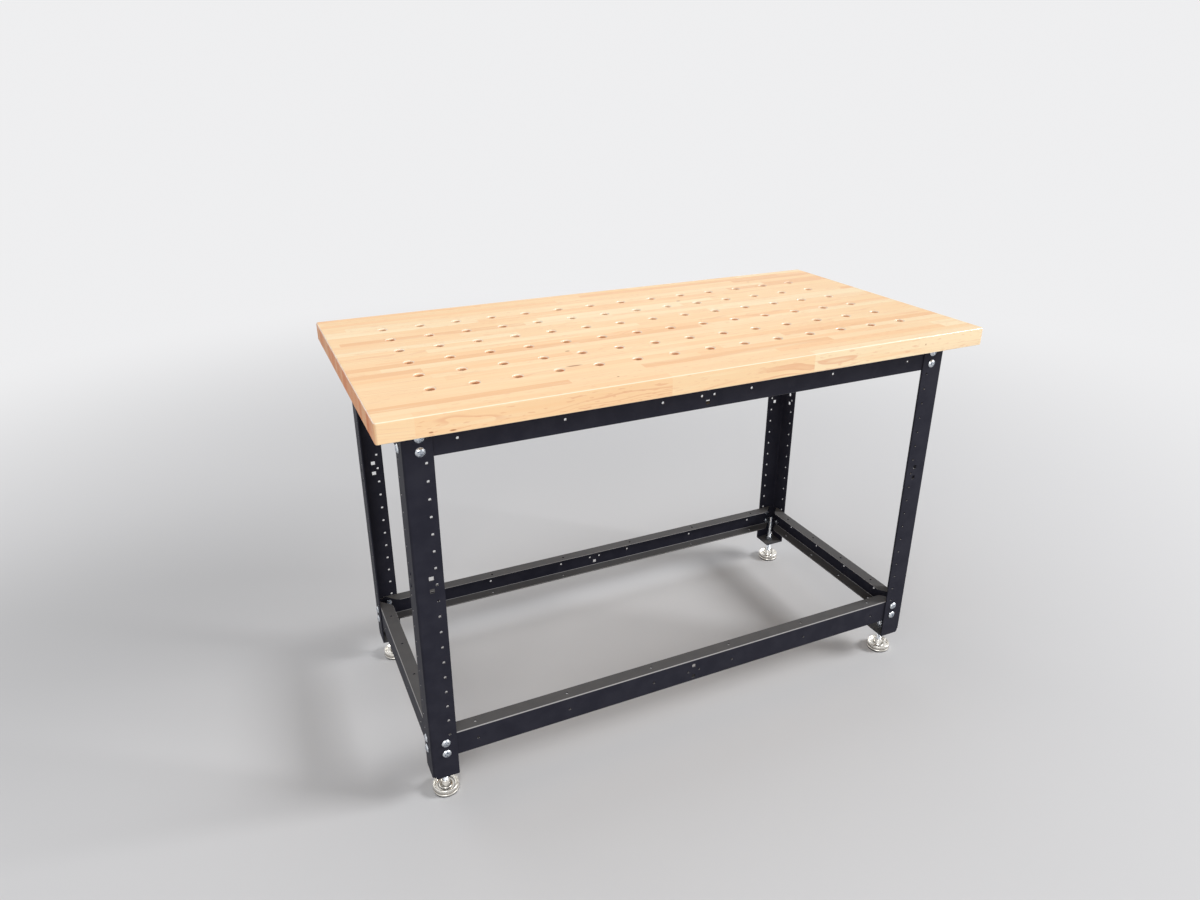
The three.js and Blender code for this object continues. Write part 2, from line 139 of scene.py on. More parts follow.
class Graph:
    """Adds and links the nodes of one shader or geometry tree."""

    def __init__(self, tree: bpy.types.NodeTree) -> None:
        """Takes the tree that the nodes go into."""
        self.tree = tree

    @staticmethod
    def find(sockets: Sequence[bpy.types.NodeSocket], key: str | int) -> bpy.types.NodeSocket:
        """Finds a socket by its identifier, or else by its name or its place."""
        known = [socket for socket in sockets if socket.identifier == key]
        return known[0] if known else sockets[key]

    def feed(self, socket: bpy.types.NodeSocket, value: object) -> None:
        """Links a socket to what feeds it, or sets its own value.

        Args:
            socket: The socket.
            value: A link, a list of links, a colour or a plain value.
        """
        if isinstance(value, Socket):
            self.tree.links.new(value.link, socket)
        elif isinstance(value, list):
            for item in value:
                self.feed(socket, item)
        else:
            socket.default_value = (*value, 1.0) if socket.type == "RGBA" else value

    def node(
        self,
        kind: str,
        inputs: dict[str | int, object] | None = None,
        output: str | int = 0,
        stops: Sequence[tuple[float, Colour]] = (),
        **settings: object,
    ) -> Socket | None:
        """Adds one node, with its settings set before its sockets.

        Args:
            kind: The node's type.
            inputs: What feeds its sockets, by identifier, name or place.
            output: The output that is wanted.
            stops: A colour ramp's stops in order, each a place and a colour.
            settings: The node's own settings.

        Returns:
            That output, or None for a node that has none.
        """
        made = self.tree.nodes.new(kind)
        for name, value in settings.items():
            setattr(made, name, value)
        for k, (place, colour) in enumerate(stops):
            ramp = made.color_ramp.elements
            element = ramp[k] if k < len(ramp) else ramp.new(place)
            element.position, element.color = place, (*colour, 1.0)
        for key, value in (inputs or {}).items():
            self.feed(self.find(made.inputs, key), value)
        return Socket(self, self.find(made.outputs, output)) if len(made.outputs) else None

    def math(self, operation: str, *values: Value) -> Socket:
        """Adds a Math node."""
        return self.node("ShaderNodeMath", dict(enumerate(values)), operation=operation)

    def split(self, vector: Socket) -> Place:
        """Gives a vector's three parts."""
        x = self.node("ShaderNodeSeparateXYZ", {"Vector": vector})
        return x, x.output("Y"), x.output("Z")

    def join(self, x: Value, y: Value, z: Value) -> Socket:
        """Makes a vector of three values."""
        return self.node("ShaderNodeCombineXYZ", {"X": x, "Y": y, "Z": z})

    def mix(self, share: Value, first: Socket | Colour, second: Colour, blend: str = "MIX") -> Socket:
        """Mixes two colours, the second by its share."""
        inputs = {"Factor_Float": share, "A_Color": first, "B_Color": second}
        return self.node("ShaderNodeMix", inputs, "Result_Color", data_type="RGBA", blend_type=blend)

    def tint(self, share: Value, colour: Socket, by: Colour) -> Socket:
        """Multiplies one colour by another, by a share."""
        return self.mix(share, colour, by, "MULTIPLY")

    def noise(self, vector: Socket, scale: float, detail: float = 2.0, roughness: float = 0.5) -> Socket:
        """Gives soft noise from 0 to 1, a half on average."""
        inputs = {"Vector": vector, "Scale": scale, "Detail": detail, "Roughness": roughness}
        return self.node("ShaderNodeTexNoise", inputs)

    def bump(self, height: Socket, distance: float, strength: float) -> Socket:
        """Turns a height into a normal."""
        return self.node("ShaderNodeBump", {"Height": height, "Distance": distance, "Strength": strength})

    def object_place(self) -> Socket:
        """The place on the piece, in metres in the table's own frame."""
        return self.node("ShaderNodeTexCoord", output="Object")

    def normal(self) -> Place:
        """The way that the surface faces."""
        return self.split(self.node("ShaderNodeNewGeometry", output="Normal"))

    def rotation(self, euler: Socket) -> Socket:
        """Turns three angles into a rotation."""
        return self.node("FunctionNodeEulerToRotation", {"Euler": euler})

    def lifted(self, geometry: Socket, height: Socket) -> Socket:
        """Moves geometry up."""
        move = {"Geometry": geometry, "Translation": self.join(0, 0, height)}
        return self.node("GeometryNodeTransform", move)

    def instances(self, points: Socket, instance: Socket, turn: Socket | None = None) -> Socket:
        """Sets an instance on each point, turned where a turn is given."""
        inputs = {"Points": points, "Instance": instance} | ({"Rotation": turn} if turn else {})
        return self.node("GeometryNodeInstanceOnPoints", inputs)

    def taken(self, block: Socket, tools: Socket) -> Socket:
        """Takes instances of a tool from a block."""
        meshes = {"Mesh 1": block, "Mesh 2": self.node("GeometryNodeRealizeInstances", {"Geometry": tools})}
        return self.node("GeometryNodeMeshBoolean", meshes, operation="DIFFERENCE", solver="MANIFOLD")


class Finish(ABC):
    """A surface finish, made into a material the first time that it is asked for."""

    label: ClassVar[str]
    slot: ClassVar[str | None] = None

    @property
    def material(self) -> bpy.types.Material:
        """The finish as a material.

        Returns:
            The material, which every piece of this finish shares.
        """
        found = bpy.data.materials.get(self.label)
        if found is None:
            found = bpy.data.materials.new(self.label)
            found.use_nodes = True
            found.node_tree.nodes.clear()
            graph = Graph(found.node_tree)
            graph.node("ShaderNodeOutputMaterial", {"Surface": self.surface(graph)})
        return found

    @abstractmethod
    def surface(self, graph: Graph) -> Socket:
        """Adds the finish's nodes and gives its shader."""


@dataclass(frozen=True)
class Grain:
    """Noise that is drawn out along the timber, by its waves to the metre along X, Y and Z."""

    waves: Point
    detail: float = 2.0
    roughness: float = 0.5

    def noise(self, graph: Graph, place: Place, shift: Sequence[Value] = (0.0, 0.0, 0.0)) -> Socket:
        """Gives the noise at a place, shifted by a stave's own amounts."""
        spot = [part * waves + move for part, waves, move in zip(place, self.waves, shift)]
        return graph.noise(graph.join(*spot), 1.0, self.detail, self.roughness)


@dataclass(frozen=True)
class OiledMaple(Finish):
    """Edge-glued maple staves with butt joints, growth rings, flecks and a satin oil, with painted
    highlights on the rounded edges and painted shade down the dog holes.
    """

    label: ClassVar[str] = "oiled_maple"
    slot: ClassVar[str] = "timber"
    stave_width: float = 25.4 * MM
    stave_length: float = 0.549
    stave_spread: float = 0.9
    stave_run: float = 9.0
    first_stave: float = 2845.247
    row_stride: float = 13.71
    edge: float = 381.2 * MM
    top: float = 1010 * MM
    end_reach: Flat = (0.70, 0.74)
    side_reach: Flat = (0.33, 0.36)
    hole_depth: Flat = (2 * MM, 9 * MM)
    ring_spacing: float = 5.2 * MM
    heart_height: float = 0.94
    fibre: Grain = Grain((4.5, 190.0, 190.0), 3.0, 0.6)
    hair: Grain = Grain((9.0, 900.0, 900.0))
    band: Grain = Grain((3.4, 75.0, 75.0))
    cloud: Grain = Grain((3.0, 12.0, 12.0))
    pores: Grain = Grain((60.0, 1400.0, 1400.0))
    wander: Grain = Grain((2.6, 9.0, 14.0))
    patch: Grain = Grain((4.0, 20.0, 20.0), 1.0)
    fleck: Grain = Grain((42.0, 230.0, 230.0), 1.0)
    streak_reach: float = 0.30
    streak_depth: float = 0.62
    knot_depth: float = 0.85
    knot_waves: Point = (4.2, 7.5, 7.5)
    pin_knot: Flat = (0.018, 0.036)
    seam_depth: float = 0.16
    wear_and_highlight_depth: float = 0.7
    cream: Colour = (0.955, 0.77, 0.505)
    honey: Colour = (0.94, 0.67, 0.395)
    peach: Colour = (0.93, 0.60, 0.33)
    tan: Colour = (0.86, 0.52, 0.28)
    tones: tuple[tuple[float, Colour], ...] = (
        (0.04, cream), (0.24, honey), (0.68, honey), (0.90, peach), (1.0, tan),
    )
    late_wood: Colour = (0.80, 0.42, 0.235)
    knot: Colour = (0.44, 0.165, 0.07)
    wear_and_highlight: Colour = (0.95, 0.86, 0.70)
    end_grain: Colour = (0.83, 0.42, 0.29)
    hole_oil_and_shade: Colour = (0.66, 0.40, 0.30)
    marks: tuple[tuple[Point, Flat], ...] = (
        ((-0.656, -0.381, 0.974), (6 * MM, 2.2 * MM)),
        ((-0.613, -0.381, 0.9715), (9 * MM, 2.4 * MM)),
        ((0.574, -0.381, 0.990), (2 * MM, 3 * MM)),
        ((-0.294, -0.227, 1.010), (24 * MM, 5 * MM)),
        ((-0.237, -0.332, 1.010), (4 * MM, 3 * MM)),
    )

    def surface(self, graph: Graph) -> Socket:
        """Adds the timber's nodes.

        Args:
            graph: The material's graph.

        Returns:
            The shader.
        """
        place = graph.split(graph.object_place())
        x, y, z = place
        across = (y + self.edge) / self.stave_width
        row = across.math("FLOOR")
        along = x / self.stave_length + row * self.row_stride + self.first_stave
        cells = {"W": along, "Scale": 1.0, "Randomness": self.stave_spread}
        # A stave's random colour gives it a tone, and moves its grain and its heart.
        stave = graph.node("ShaderNodeTexVoronoi", cells, "Color", voronoi_dimensions="1D")
        tone, lean, turn = graph.split(stave)
        base = graph.node("ShaderNodeValToRGB", {"Fac": tone}, stops=self.tones)
        run = (lean - 0.5) * self.stave_run
        fibre = self.fibre.noise(graph, place, (run, turn * 40, 0.0))
        hair = self.hair.noise(graph, place, (run, 0.0, 0.0))
        band = self.band.noise(graph, place, (run, lean * 30, 0.0))
        cloud = self.cloud.noise(graph, place, (run, turn * 20, 0.0))
        streaks = (fibre - 0.5) * 0.75 + (band - 0.5) * 0.65 + (hair - 0.5) * 0.25 + (cloud - 0.5) * 0.45
        for streak, colour in ((streaks, self.peach), (0.0 - streaks, self.cream)):
            base = graph.mix(streak.step(0.0, self.streak_reach) * self.streak_depth, base, colour)
        side_x, side_y, up = (abs(part) for part in graph.normal())
        drawn = 0.42 + side_y * 0.25
        base = graph.mix(self.rings(graph, place, row, lean, turn) * drawn, base, self.late_wood)
        rays = self.fleck.noise(graph, place).step(0.62, 0.72) * turn.step(0.35, 0.75)
        base = graph.mix(rays * drawn, base, self.late_wood)
        base = graph.mix(self.knots(graph, place) * self.knot_depth, base, self.knot)
        seam = abs(across.math("FRACT") - 0.5).step(0.488, 0.5) * up.step(0.5, 0.9)
        base = graph.mix(seam * self.seam_depth, base, self.tan)
        # The slope is 0 on a flat face, level or upright, and rises on a rounded edge.
        slope = 1.0 - up.math("MAXIMUM", (side_x ** 2.0 + side_y ** 2.0) ** 0.5)
        arris, burnish = slope.step(0.02, 0.2), slope.step(0.003, 0.05)
        # Rounded edges, the arris and the dog holes' rims, are lightened towards a pale cream: partly wear,
        # partly a painted highlight.
        base = graph.mix(arris * self.wear_and_highlight_depth, base, self.wear_and_highlight)
        at_end = abs(x).step(*self.end_reach)
        in_hole = (1.0 - at_end) * (1.0 - abs(y).step(*self.side_reach)) * (1.0 - up.step(0.2, 0.7))
        # Deeper down the dog holes the timber is tinted darker brown: partly oil, partly painted shade in
        # the recess.
        base = graph.tint(in_hole * (self.top - z).step(*self.hole_depth), base, self.hole_oil_and_shade)
        facing = side_x ** 2.0 * (0.35 + at_end * 0.65 + in_hole * 0.6)
        pores = self.pores.noise(graph, place) - 0.5
        base = graph.tint(facing * (0.72 + pores + (lean - 0.5) * 0.5), base, self.end_grain)
        return graph.node("ShaderNodeBsdfPrincipled", {
            "Base Color": base,
            "Roughness": 0.50 + (fibre - 0.5) * 0.22 + facing * 0.12 - arris * 0.1,
            "Specular IOR Level": 0.22,
            "Coat Weight": 0.05 + burnish * 0.95,
            "Coat Roughness": 0.15,
            "Normal": graph.bump(fibre * 0.6 + hair * 0.4, 0.15 * MM, 0.35),
        })

    def rings(self, graph: Graph, place: Place, row: Socket, lean: Socket, turn: Socket) -> Socket:
        """Draws each stave's growth rings round a heart of its own.

        Args:
            graph: The material's graph.
            place: X, Y and Z on the piece.
            row: The stave's row.
            lean: A random value of the stave, which sets its heart across.
            turn: A random value of the stave, which sets its heart's height.

        Returns:
            The late wood's share, from 0 to 1.
        """
        _, y, z = place
        wander = self.wander.noise(graph, place, (turn * 30, 0.0, 0.0)) - 0.5
        heart_y = (row + 0.5) * self.stave_width - self.edge + (lean - 0.5) * 0.14
        heart_z = self.heart_height + turn * 0.10 + wander * 0.09
        reach = ((y - heart_y) ** 2.0 + (z - heart_z) ** 2.0) ** 0.5
        phase = ((reach + wander * 0.02) / self.ring_spacing).math("FRACT")
        line = phase.step(0.62, 0.93) * (1.0 - phase.step(0.95, 1.0))
        return line * self.patch.noise(graph, place, (0.0, 0.0, lean * 10)).step(0.38, 0.62)

    def knots(self, graph: Graph, place: Place) -> Socket:
        """Draws a few pin knots and the larger marks.

        Args:
            graph: The material's graph.
            place: X, Y and Z on the piece.

        Returns:
            The knots' share, from 0 to 1.
        """
        x, y, z = place
        spread = graph.join(*(part * waves for part, waves in zip(place, self.knot_waves)))
        cells = {"Vector": spread, "Scale": 1.0, "Randomness": 1.0}
        spots = 1.0 - graph.node("ShaderNodeTexVoronoi", cells).step(*self.pin_knot)
        for (mark_x, mark_y, mark_z), (length, width) in self.marks:
            run, cross, rise = (x - mark_x) / length, (y - mark_y) / width, (z - mark_z) / width
            reach = (run ** 2.0 + cross ** 2.0 + rise ** 2.0) ** 0.5
            spots = spots.math("MAXIMUM", 1.0 - reach.step(0.45, 1.0))
        return spots


@dataclass(frozen=True)
class PowderCoat(Finish):
    """Near-black powder coat with a fine orange peel, dust and a painted sheen on its level faces, and
    painted highlights along its upward bends.
    """

    label: ClassVar[str] = "satin_powder_coat"
    slot: ClassVar[str] = "powder_coat"
    dark: Colour = (0.0185, 0.0185, 0.0275)
    light: Colour = (0.0245, 0.0245, 0.0345)
    dust_and_sheen: Colour = (0.104, 0.102, 0.103)
    wear_and_highlight: Colour = (0.50, 0.49, 0.49)
    sheen: Colour = (0.90, 0.91, 1.0)
    cloud_scale: float = 26.0
    peel_scale: float = 850.0
    grit_scale: float = 2600.0

    def surface(self, graph: Graph) -> Socket:
        """Adds the coat's nodes.

        Args:
            graph: The material's graph.

        Returns:
            The shader.
        """
        place = graph.object_place()
        cloud = graph.noise(place, self.cloud_scale, 3.0)
        peel = graph.noise(place, self.peel_scale, 2.0)
        grit = graph.noise(place, self.grit_scale, 1.0)
        x, y, z = graph.normal()
        level = z.step(0.7, 0.98)
        rounded = (1.0 - abs(x).math("MAXIMUM", abs(y)).math("MAXIMUM", abs(z))).step(0.03, 0.2)
        base = graph.mix(cloud.step(0.3, 0.7), self.dark, self.light)
        # Level faces are lightened towards grey: partly dust, partly a painted sheen that stands in for
        # their reflection.
        base = graph.mix(level * (0.75 + cloud * 0.4), base, self.dust_and_sheen)
        return graph.node("ShaderNodeBsdfPrincipled", {
            # Bends that face up are lightened towards mid grey: partly a worn coat, partly a painted
            # highlight along the bends.
            "Base Color": graph.mix(rounded * z.step(0.1, 0.5) * 0.8, base, self.wear_and_highlight),
            "Roughness": 0.50 + (cloud - 0.5) * 0.14 + (grit - 0.5) * 0.10 - rounded * 0.25,
            "Specular IOR Level": 0.08,
            "Specular Tint": self.sheen,
            "Normal": graph.bump(peel * 0.75 + grit * 0.25, 0.12 * MM, 0.32),
        })


@dataclass(frozen=True)
class BrightZinc(Finish):
    """Zinc plate with a mottled, bluish spangle and a painted highlight on its sloped faces."""

    label: ClassVar[str] = "bright_zinc"
    slot: ClassVar[str] = "zinc"
    bright: Colour = (0.90, 0.92, 0.94)
    pale: Colour = (0.62, 0.66, 0.71)
    blue: Colour = (0.11, 0.14, 0.19)
    spangle_scale: float = 420.0
    cloud_scale: float = 300.0

    def surface(self, graph: Graph) -> Socket:
        """Adds the plating's nodes.

        Args:
            graph: The material's graph.

        Returns:
            The shader.
        """
        place = graph.object_place()
        cells = {"Vector": place, "Scale": self.spangle_scale}
        spangle = graph.node("ShaderNodeTexVoronoi", cells, "Color")
        flake, dull, _ = graph.split(spangle)
        cloud = graph.noise(place, self.cloud_scale, 3.0, 0.6)
        x, y, z = (abs(part) for part in graph.normal())
        # Sloped faces, such as the bolt heads' domes and rims, are lightened towards a bright tone: a
        # painted highlight.
        slope_highlight = (1.0 - x.math("MAXIMUM", y).math("MAXIMUM", z)).step(0.04, 0.22)
        base = graph.mix((flake * 0.7 + cloud * 0.6 - 0.25).step(0.15, 0.8), self.pale, self.blue)
        return graph.node("ShaderNodeBsdfPrincipled", {
            "Base Color": graph.mix(slope_highlight * 0.55, base, self.bright),
            "Metallic": 1.0,
            "Roughness": 0.20 + dull * 0.18 + (cloud - 0.5) * 0.2,
            "Normal": graph.bump(cloud, 0.45 * MM, 0.8),
        })


@dataclass(frozen=True)
class PolishedNickel(Finish):
    """Warm bright plate over a turned pad, with the lathe's fine rings and a darker, duller band round its
    groove.
    """

    label: ClassVar[str] = "polished_nickel"
    slot: ClassVar[str] = "foot_metal"
    warm: Colour = (0.87, 0.845, 0.79)
    dull: Colour = (0.63, 0.605, 0.55)
    groove_dark: Colour = (0.20, 0.175, 0.15)
    groove: tuple[Flat, Flat] = ((6.4 * MM, 8.0 * MM), (9.8 * MM, 11.8 * MM))
    lathe_lines: float = 4200.0
    cloud_scale: float = 120.0

    def surface(self, graph: Graph) -> Socket:
        """Adds the plating's nodes.

        Args:
            graph: The material's graph.

        Returns:
            The shader.
        """
        place = graph.object_place()
        _, along, _ = graph.split(graph.node("ShaderNodeUVMap", uv_map=TURNING_MAP))
        lathe = graph.noise(graph.join(along * self.lathe_lines, 0.0, 0.0), 1.0, 2.0)
        cloud = graph.noise(place, self.cloud_scale, 3.0)
        _, _, z = graph.split(place)
        # A band round the pad's groove is made darker, duller and less metallic.
        foot, crown = self.groove
        groove_band = z.step(*foot) * (1.0 - z.step(*crown)) * 0.85
        base = graph.mix((cloud * 0.7 + lathe * 0.5 - 0.1).step(0.3, 0.8), self.warm, self.dull)
        return graph.node("ShaderNodeBsdfPrincipled", {
            "Base Color": graph.mix(groove_band, base, self.groove_dark),
            "Metallic": 1.0 - groove_band * 0.7,
            "Roughness": 0.27 + (cloud - 0.5) * 0.16 + (lathe - 0.5) * 0.14 + groove_band * 0.3,
            "Normal": graph.bump(lathe, 0.03 * MM, 0.35),
        })


@dataclass(frozen=True)
class BlackRubber(Finish):
    """Dull black rubber under the feet."""

    label: ClassVar[str] = "black_rubber"
    dark: Colour = (0.012, 0.012, 0.012)
    dusty: Colour = (0.05, 0.048, 0.046)
    dust_scale: float = 180.0
    grain_scale: float = 2200.0

    def surface(self, graph: Graph) -> Socket:
        """Adds the rubber's nodes.

        Args:
            graph: The material's graph.

        Returns:
            The shader.
        """
        place = graph.object_place()
        dust_and_sheen = graph.noise(place, self.dust_scale, 3.0)
        grain = graph.noise(place, self.grain_scale, 1.0)
        return graph.node("ShaderNodeBsdfPrincipled", {
            "Base Color": graph.mix(dust_and_sheen.step(0.35, 0.75), self.dark, self.dusty),
            "Roughness": 0.75 + (grain - 0.5) * 0.2,
            "Normal": graph.bump(grain, 0.1 * MM, 0.3),
        })


def seen_directly(graph: Graph) -> Socket:
    """Is 1 for what the camera, a reflection or glass shows, and 0 for light that falls on a surface."""
    path = graph.node("ShaderNodeLightPath", output="Is Camera Ray")
    return (path + path.output("Is Glossy Ray") + path.output("Is Transmission Ray")).math("MINIMUM", 1.0)


@dataclass(frozen=True)
class StudioFloor(Finish):
    """Plain pale floor that fades into the backdrop's own tone far away and is clear from below."""

    label: ClassVar[str] = "studio_floor"
    pale: Colour = (0.62, 0.62, 0.63)
    far: Colour = BACKDROP
    fade: Flat = (0.9, 4.6)

    def surface(self, graph: Graph) -> Socket:
        """Adds the floor's nodes.

        Args:
            graph: The material's graph.

        Returns:
            The shader.
        """
        x, y, _ = graph.split(graph.object_place())
        away = ((x ** 2.0 + y ** 2.0) ** 0.5).step(*self.fade)
        near = graph.node("ShaderNodeBsdfPrincipled", {"Base Color": self.pale, "Roughness": 0.8})
        backdrop = graph.node("ShaderNodeEmission", {"Color": self.far, "Strength": 1.0})
        share = away * seen_directly(graph)
        floor = graph.node("ShaderNodeMixShader", {"Fac": share, 1: near, 2: backdrop})
        below = graph.node("ShaderNodeNewGeometry", output="Backfacing")
        clear = graph.node("ShaderNodeBsdfTransparent")
        return graph.node("ShaderNodeMixShader", {"Fac": below, 1: floor, 2: clear})


def add_object(name: str, data: bpy.types.ID) -> Object:
    """Puts a mesh, a lamp or a camera into the scene.

    Args:
        name: The object's name.
        data: What the object holds.

    Returns:
        The object, at the origin.
    """
    made = bpy.data.objects.new(name, data)
    bpy.context.scene.collection.objects.link(made)
    return made


def shaped(name: str, shape: bmesh.types.BMesh) -> Object:
    """Turns a finished shape into an object.

    Args:
        name: The object's name.
        shape: The shape, which is freed.

    Returns:
        The object.
    """
    mesh = bpy.data.meshes.new(name)
    shape.to_mesh(mesh)
    shape.free()
    return add_object(name, mesh)


def remove(piece: Object) -> None:
    """Deletes a helper object and its mesh.

    Args:
        piece: The helper.
    """
    mesh = piece.data
    bpy.data.objects.remove(piece)
    bpy.data.meshes.remove(mesh)


def settle(piece: Object) -> None:
    """Turns a piece and its modifiers into one plain mesh.

    Args:
        piece: The piece.
    """
    bpy.context.view_layer.update()
    evaluated = piece.evaluated_get(bpy.context.evaluated_depsgraph_get())
    mesh = bpy.data.meshes.new_from_object(evaluated)
    piece.modifiers.clear()
    old = piece.data
    piece.data = mesh
    bpy.data.meshes.remove(old)


def soften(piece: Object) -> None:
    """Shades a piece smooth across its gentle edges and keeps its flat faces flat.

    Args:
        piece: The piece.
    """
    shape = bmesh.new()
    shape.from_mesh(piece.data)
    for face in shape.faces:
        face.smooth = True
    for edge in shape.edges:
        edge.smooth = edge.calc_face_angle(math.pi) < SHARP_ANGLE
    shape.to_mesh(piece.data)
    shape.free()
    weighted = piece.modifiers.new("weighted", "WEIGHTED_NORMAL")
    weighted.keep_sharp = True
    settle(piece)


def loft(name: str, rings: Sequence[Sequence[Point]], closed: bool = False) -> Object:
    """Skins a stack of rings of points.

    Args:
        name: The object's name.
        rings: Rings of as many points each, in order round and along the piece.
        closed: Joins the last ring to the first one. Otherwise both ends are capped.

    Returns:
        The object, with a map of the turn and of the distance along the rings.
    """
    shape = bmesh.new()
    turning = shape.loops.layers.uv.new(TURNING_MAP)
    rows = [[shape.verts.new(point) for point in ring] for ring in rings]
    count = len(rings[0])
    lengths = [0.0]
    for here, there in zip(rings, rings[1:]):
        lengths.append(lengths[-1] + (Vector(there[0]) - Vector(here[0])).length)
    pairs = list(zip(range(len(rows)), range(1, len(rows))))
    if closed:
        pairs.append((len(rows) - 1, 0))
    for low, high in pairs:
        for j in range(count):
            k = (j + 1) % count
            face = shape.faces.new((rows[low][j], rows[low][k], rows[high][k], rows[high][j]))
            corners = ((j, low), (j + 1, low), (j + 1, high), (j, high))
            for loop, (turn, row) in zip(face.loops, corners):
                loop[turning].uv = (turn / count, lengths[row])
    if not closed:
        # A ring that has shrunk to one point needs no cap.
        for row in (rows[0], rows[-1]):
            if (row[0].co - row[count // 2].co).length > WELD_DISTANCE:
                shape.faces.new(row)
    bmesh.ops.remove_doubles(shape, verts=shape.verts, dist=WELD_DISTANCE)
    bmesh.ops.recalc_face_normals(shape, faces=shape.faces)
    return shaped(name, shape)


def circle(radius: float, z: float, count: int) -> list[Point]:
    """A level ring of points about the Z axis."""
    angles = [FULL_TURN * j / count for j in range(count)]
    return [(radius * math.cos(a), radius * math.sin(a), z) for a in angles]


def turned(name: str, profile: Iterable[Flat], segments: int) -> Object:
    """Turns a profile of radius and height about Z."""
    return loft(name, [circle(r, z, segments) for r, z in profile])


def prism(name: str, outline: Sequence[Flat], low: float, high: float) -> Object:
    """Raises a flat outline from one height to another."""
    return loft(name, [[(x, y, z) for x, y in outline] for z in (low, high)])


def joined(name: str, pieces: Sequence[Object]) -> Object:
    """Puts several closed shells into one object with soft shading.

    Args:
        name: The object's name.
        pieces: The shells, which are removed.

    Returns:
        The object.
    """
    shape = bmesh.new()
    for piece in pieces:
        shape.from_mesh(piece.data)
        remove(piece)
    made = shaped(name, shape)
    soften(made)
    return made


def copied(name: str, master: Object, place: Matrix) -> Object:
    """Copies a piece to another place, with soft shading.

    Args:
        name: The copy's name.
        master: The piece.
        place: Where the copy goes.

    Returns:
        The copy, with the place in its mesh.
    """
    mesh = master.data.copy()
    mesh.transform(place)
    if place.determinant() < 0:
        mesh.flip_normals()
    made = add_object(name, mesh)
    soften(made)
    return made


def quarter(radius: float, steps: int) -> list[Flat]:
    """Points of a quarter round, as its run and its rise, from level to upright."""
    angles = [QUARTER_TURN * k / steps for k in range(steps + 1)]
    return [(radius * math.sin(a), radius * (1 - math.cos(a))) for a in angles]


def bend(radius: float, thickness: float, steps: int) -> list[Skin]:
    """Gives the two skins of a sheet's quarter bend.

    Args:
        radius: The outer radius.
        thickness: The sheet's thickness.
        steps: The number of steps round the bend.

    Returns:
        Pairs of an outer and an inner point.
    """
    skins = []
    for k in range(steps + 1):
        angle = QUARTER_TURN * k / steps
        sine, cosine = math.sin(angle), math.cos(angle)
        skins.append(tuple((radius - r * sine, radius - r * cosine) for r in (radius, radius - thickness)))
    return skins


@dataclass
class HexagonNut:
    """A hexagon nut or head about the Z axis, with turned chamfers."""

    flats: float
    low: float
    high: float
    bore: float
    side_steps: int = 8
    face_share: float = 0.96
    chamfer_angle: float = math.radians(30)
    bore_ease: float = 0.4 * MM

    def build(self, name: str) -> Object:
        """Makes the nut.

        Args:
            name: The object's name.

        Returns:
            The nut as an object.
        """
        count = 6 * self.side_steps
        low, high, bore, mouth = self.low, self.high, self.bore / 2, self.bore / 2 + self.bore_ease
        face = self.flats / 2 * self.face_share
        low_side, high_side = [], []
        for angle in [FULL_TURN * j / count for j in range(count)]:
            radius = self.flats / 2 / math.cos(angle % SIXTH_TURN - SIXTH_TURN / 2)
            drop = (radius - face) * math.tan(self.chamfer_angle)
            corner = (radius * math.cos(angle), radius * math.sin(angle))
            low_side.append((*corner, low + drop))
            high_side.append((*corner, high - drop))
        lower = [(bore, low + self.bore_ease), (mouth, low), (face, low)]
        upper = [(face, high), (mouth, high), (bore, high - self.bore_ease)]
        below, above = ([circle(r, z, count) for r, z in part] for part in (lower, upper))
        return loft(name, [*below, low_side, high_side, *above], closed=True)


class HoleForm(Enum):
    """The form of a punched hole, by the punch's sides."""

    ROUND = 28
    SQUARE = 4

    def width(self, size: float) -> float:
        """The punch's width across its corners for a hole of a size across its flats."""
        return size * math.sqrt(2) if self is HoleForm.SQUARE else size


class Axis(Enum):
    """An axis of the frame, as the turn of a punch from Z."""

    X = (0.0, QUARTER_TURN, 0.0)
    Y = (QUARTER_TURN, 0.0, 0.0)
    Z = (0.0, 0.0, 0.0)


class Corner(Enum):
    """A corner of the frame, with the signs of its place."""

    FRONT_LEFT = ("front_left", -1, -1)
    FRONT_RIGHT = ("front_right", 1, -1)
    BACK_LEFT = ("back_left", -1, 1)
    BACK_RIGHT = ("back_right", 1, 1)

    def __init__(self, label: str, x_sign: int, y_sign: int) -> None:
        """Takes the corner's name and its signs."""
        self.label = label
        self.x_sign, self.y_sign = x_sign, y_sign

    @property
    def outer(self) -> Vector:
        """The leg's outer corner, on the floor."""
        low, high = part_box(f"leg_{self.label}")
        return Vector((low.x if self.x_sign < 0 else high.x, low.y if self.y_sign < 0 else high.y, 0))

    @property
    def inward(self) -> Matrix:
        """Turns a form that grows along +X and +Y towards the table's middle, from the outer corner."""
        return Matrix.Translation(self.outer) @ Matrix.Diagonal((-self.x_sign, -self.y_sign, 1, 1))


class Side(Enum):
    """A side of the frame, with its quarter turns from the front."""

    FRONT = ("front", 0)
    RIGHT = ("right", 1)
    BACK = ("back", 2)
    LEFT = ("left", 3)

    def __init__(self, label: str, quarter_turns: int) -> None:
        """Takes the side's name and its turn."""
        self.label = label
        self.quarter_turns = quarter_turns

    @property
    def is_long(self) -> bool:
        """Whether the side runs along the table's length."""
        return self.quarter_turns % 2 == 0

    @property
    def turn(self) -> Matrix:
        """Turns a form that is made for the front to this side."""
        return Matrix.Rotation(self.quarter_turns * QUARTER_TURN, 4, "Z")

    def reach(self, low: Vector, high: Vector) -> float:
        """How far a box on this side stands out from the table's middle."""
        return {Side.FRONT: -low.y, Side.RIGHT: high.x, Side.BACK: high.y, Side.LEFT: -low.x}[self]


class Level(Enum):
    """The two levels of rails."""

    UPPER = "upper"
    LOWER = "lower"


